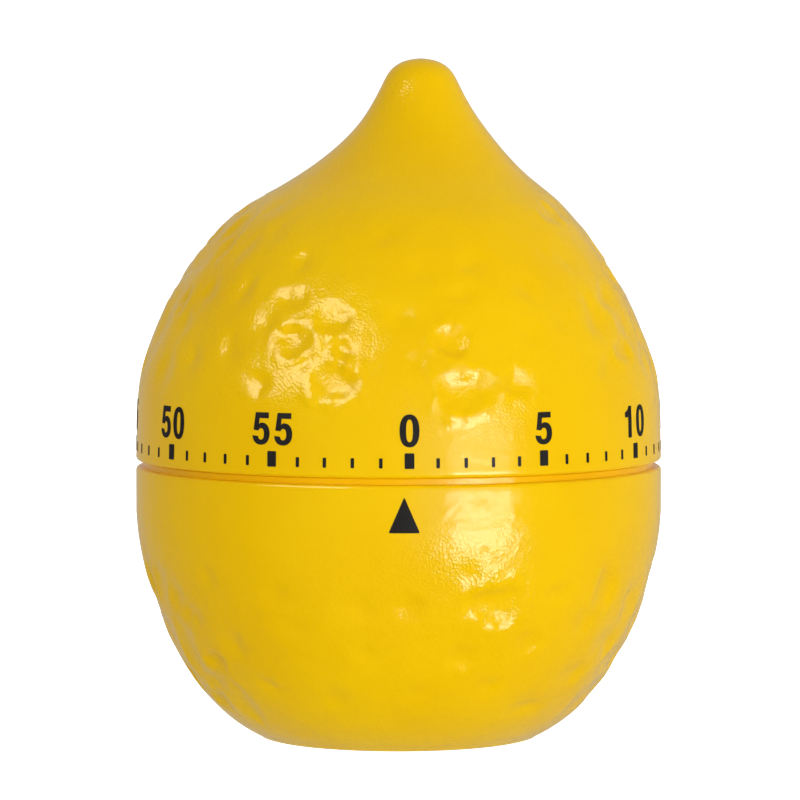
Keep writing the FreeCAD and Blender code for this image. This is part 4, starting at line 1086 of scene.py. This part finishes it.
@dataclass
class Pointer:
    """The printed triangle on the lower half that points at the time left."""

    body: BodySkin
    width: float = 3.56
    height: float = 4.1
    drop: float = 1.28          # apex below the lower half's top edge
    blunt: float = 0.12

    def make(self) -> bpy.types.Object:
        """Builds the triangle with slightly blunt corners."""
        half, tall = self.width / 2, self.height
        corners = [(-half, -tall), (half, -tall), (0.0, 0.0)]
        ring: list[Point] = []
        for index, point in enumerate(corners):
            for other in (corners[index - 1], corners[(index + 1) % 3]):
                length = math.dist(point, other)
                ring.append(tuple(p + (o - p) * self.blunt / length for p, o in zip(point, other)))
        built = bmesh.new()
        Print(self.body.outline).shape(built, [ring], 0.0, self.body.height - self.drop)
        return made_piece("pointer", finished_mesh("pointer", built), Stock.INK, "case")


# ---- Clockwork and base -----------------------------------------------------------------------------
SLOT_OF = {
    "upper_shell": "lemon_plastic", "lower_shell": "lemon_plastic", "base_cover": "cover_plastic",
    "dial_hub": "hub_plastic",
    **dict.fromkeys((
        "great_wheel", "second_wheel", "third_wheel", "escape_wheel", "balance_wheel", "hammer_head",
        "hairspring_collet", "bottom_plate", "top_plate", "plate_pillars", "hairspring_stud"), "brass"),
    **dict.fromkeys((
        "bell", "bell_screw", "base_cover_screws", "movement_screws", "pillar_nuts"), "plated_steel"),
    **dict.fromkeys(("mainspring", "hairspring", "hammer_spring", "click_spring"), "spring_steel"),
}       # every other node is bright steel


def dress_clockwork(frame: dict) -> None:
    """Gives every carried-over node the finish of its slot.
    """
    stock = {entry.slot: entry for entry in Stock if entry is not Stock.INK}
    for name, node in frame["nodes"].items():
        chosen = stock[SLOT_OF.get(name, Stock.STEEL.slot)]
        node.data.materials.clear()
        node.data.materials.append(chosen.material())
        LOG.info("%s: %s", name, chosen.value[1].name)


@dataclass(frozen=True)
class LeafSpring:
    """A leaf spring cut into many sections, in the place of its stiff CAD node."""

    node: str
    held: str               # body that holds its foot
    pushed: str             # body that its tip follows
    foot: Point             # in the plane of the plates, millimetres
    tip: Point
    bends: tuple[float, float] = (0.2, 0.8)     # shares of the length between which it bends
    cuts: int = 24

    def make(self, frame: dict) -> bpy.types.Object:
        """Builds the spring cut into sections along its length, between its foot and its tip.

        Returns:
            The piece cut into sections.
        """
        stiff = frame["nodes"][self.node]
        built = bmesh.new()
        built.from_mesh(stiff.data)
        built.transform(stiff.matrix_world)
        foot, tip = (Vector((*end, 0.0)) * MM for end in (self.foot, self.tip))
        for step in range(1, self.cuts):
            bmesh.ops.bisect_plane(
                built, geom=[*built.verts, *built.edges, *built.faces], dist=1e-7,
                plane_co=foot.lerp(tip, step / self.cuts), plane_no=tip - foot)
        mesh = finished_mesh(f"{self.node}_leaf", built)
        mesh.materials.clear()
        mesh.materials.append(Stock.SPRING.material())
        piece = added_object(mesh.name, mesh)
        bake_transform(piece)
        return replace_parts(piece, self.node)


# ---- Studio -----------------------------------------------------------------------------------------
def direction(azimuth: float, elevation: float) -> Vector:
    """Unit vector from degrees right of the front and degrees up."""
    turn, rise = math.radians(azimuth), math.radians(elevation)
    return Vector((math.sin(turn) * math.cos(rise), -math.cos(turn) * math.cos(rise), math.sin(rise)))


def standing_at(target: Vector, away: Vector, distance: float) -> Matrix:
    """Place of a light or camera that looks at a target from a distance."""
    return Matrix.Translation(target + away * distance) @ away.to_track_quat("Z", "Y").to_matrix().to_4x4()


class Use(Enum):
    """What a light is set up for: its shape in the gloss, or its even light on the plastic."""

    GLOSS = "gloss"
    LIGHT = "light"


@dataclass(frozen=True)
class SoftBox:
    """A rectangular light that faces the timer."""

    name: str
    azimuth: float          # degrees from the front, positive to the right
    elevation: float
    distance: float         # metres
    width: float
    height: float
    radiance: float
    use: Use

    def make(self, target: Vector) -> bpy.types.Object:
        """Builds the light.

        Args:
            target: point that it faces.

        Returns:
            The light's object.
        """
        lamp = bpy.data.lights.new(self.name, "AREA")
        lamp.shape, lamp.size, lamp.size_y = "RECTANGLE", self.width, self.height
        lamp.energy = self.radiance * math.pi * self.width * self.height
        made = added_object(self.name, lamp)
        made.visible_camera = False
        made.visible_diffuse, made.visible_glossy = self.use is Use.LIGHT, self.use is Use.GLOSS
        made.matrix_world = standing_at(target, direction(self.azimuth, self.elevation), self.distance)
        return made


def room_wall(side: str, azimuth: float, elevation: float, radiance: float) -> SoftBox:
    """One of the six large even walls round the timer."""
    return SoftBox(f"room_{side}", azimuth, elevation, 1.0, 2.0, 2.0, radiance, Use.LIGHT)


@dataclass
class Studio:
    """White sweep, soft lights and the camera."""

    lens: float = 260.0                 # millimetres
    sensor: float = 36.0
    view_width: float = 94.5            # millimetres across the picture at the timer's middle
    elevation: float = 3.7
    azimuth: float = -1.2               # the camera stands a little to the left of the front
    aim: tuple[float, float, float] = (0.165, 0.0, 39.8)
    lights: tuple[SoftBox, ...] = (
        room_wall("front", 0, 0, 0.70), room_wall("right", 90, 0, 0.72), room_wall("back", 180, 0, 0.62),
        room_wall("left", -90, 0, 0.51), room_wall("above", 0, 90, 0.56), room_wall("below", 0, -90, 0.47),
        SoftBox("key", 18, -2, 0.50, 0.24, 0.26, 4.6, Use.LIGHT),
        SoftBox("window_left", -43, 31, 0.42, 0.28, 0.20, 11.0, Use.GLOSS),
        SoftBox("window_right", 33, 6, 0.36, 0.17, 0.12, 4.2, Use.GLOSS),
        SoftBox("window_low", 34, -13, 0.36, 0.17, 0.10, 18.0, Use.GLOSS),
    )

    floor_radius: float = 25.0          # metres
    paper: str = "#F2F2F2"
    paper_glow: float = 1.0
    background: float = 1.1             # what the camera sees behind the timer
    gloss_depths: tuple[float, float] = (-0.3, 0.9)     # towards the back, between which the gloss brightens
    gloss_levels: tuple[float, float] = (0.005, 0.42)

    def floor(self) -> bpy.types.Object:
        """Builds the round white floor."""
        built = bmesh.new()
        bmesh.ops.create_circle(built, cap_ends=True, segments=128, radius=self.floor_radius)
        mesh = finished_mesh("floor", built)
        paper = bpy.data.materials.new("white paper sweep")
        paper.use_nodes = True
        shader = paper.node_tree.nodes["Principled BSDF"]
        for name, value in {
            "Base Color": linear(self.paper), "Roughness": 0.9, "Specular IOR Level": 0.1,
            "Emission Color": (1, 1, 1, 1), "Emission Strength": self.paper_glow,
        }.items():
            shader.inputs[name].default_value = value
        mesh.materials.append(paper)
        made = added_object("floor", mesh)
        made.visible_glossy = made.visible_diffuse = made.visible_shadow = False
        return made

    def world(self) -> None:
        """White behind the timer, and a dim room for the gloss that grows brighter towards the back."""
        scene = bpy.context.scene
        scene.world = bpy.data.worlds.new("white room")
        scene.world.use_nodes = True
        tree = scene.world.node_tree
        tree.nodes.clear()
        ray = add_node(tree, "ShaderNodeLightPath")
        way = add_node(tree, "ShaderNodeTexCoord").outputs["Generated"]
        depth = add_node(tree, "ShaderNodeSeparateXYZ", {0: way}).outputs[1]
        (near, far), (dim, bright) = self.gloss_depths, self.gloss_levels
        gloss = add_node(tree, "ShaderNodeMapRange", {
            "Value": depth, "From Min": near, "From Max": far, "To Min": dim, "To Max": bright}).outputs[0]
        seen = add_node(tree, "ShaderNodeMix", {
            0: ray.outputs["Is Camera Ray"], 2: gloss, 3: self.background})
        back = add_node(tree, "ShaderNodeBackground", {"Color": (1, 1, 1, 1), "Strength": seen.outputs[0]})
        add_node(tree, "ShaderNodeOutputWorld", {0: back.outputs[0]})

    def camera(self) -> None:
        """Sets the long lens level with the seam, slightly above."""
        data = bpy.data.cameras.new("camera")
        data.lens, data.sensor_width = self.lens, self.sensor
        distance = self.view_width * MM * self.lens / self.sensor
        made = added_object("camera", data)
        away = direction(self.azimuth, self.elevation)
        made.matrix_world = standing_at(Vector(self.aim) * MM, away, distance)
        data.clip_start, data.clip_end = 0.05, 50.0
        bpy.context.scene.camera = made

    def make(self) -> None:
        """Builds the whole studio."""
        self.floor()
        self.world()
        self.camera()
        for light in self.lights:
            light.make(Vector(self.aim) * MM)
        bpy.context.scene.view_settings.view_transform = "Standard"


def main() -> None:
    """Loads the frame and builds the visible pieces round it."""
    logging.basicConfig(level=logging.INFO, format="%(name)s: %(message)s")
    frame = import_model()
    dial, body = DialSkin(), BodySkin()
    dial.make()
    body.make()
    scale = MinuteScale(dial)
    scale.ticks()
    scale.numbers()
    Pointer(body).make()
    LeafSpring("click_spring", "great_wheel_set", "click_pawl", (-1.95, -9.86), (3.49, -6.66)).make(frame)
    LeafSpring("hammer_spring", "case", "hammer", (19.2, -3.39), (9.78, -11.46)).make(frame)
    dress_clockwork(frame)
    Studio().make()


if __name__ == "__main__":
    main()
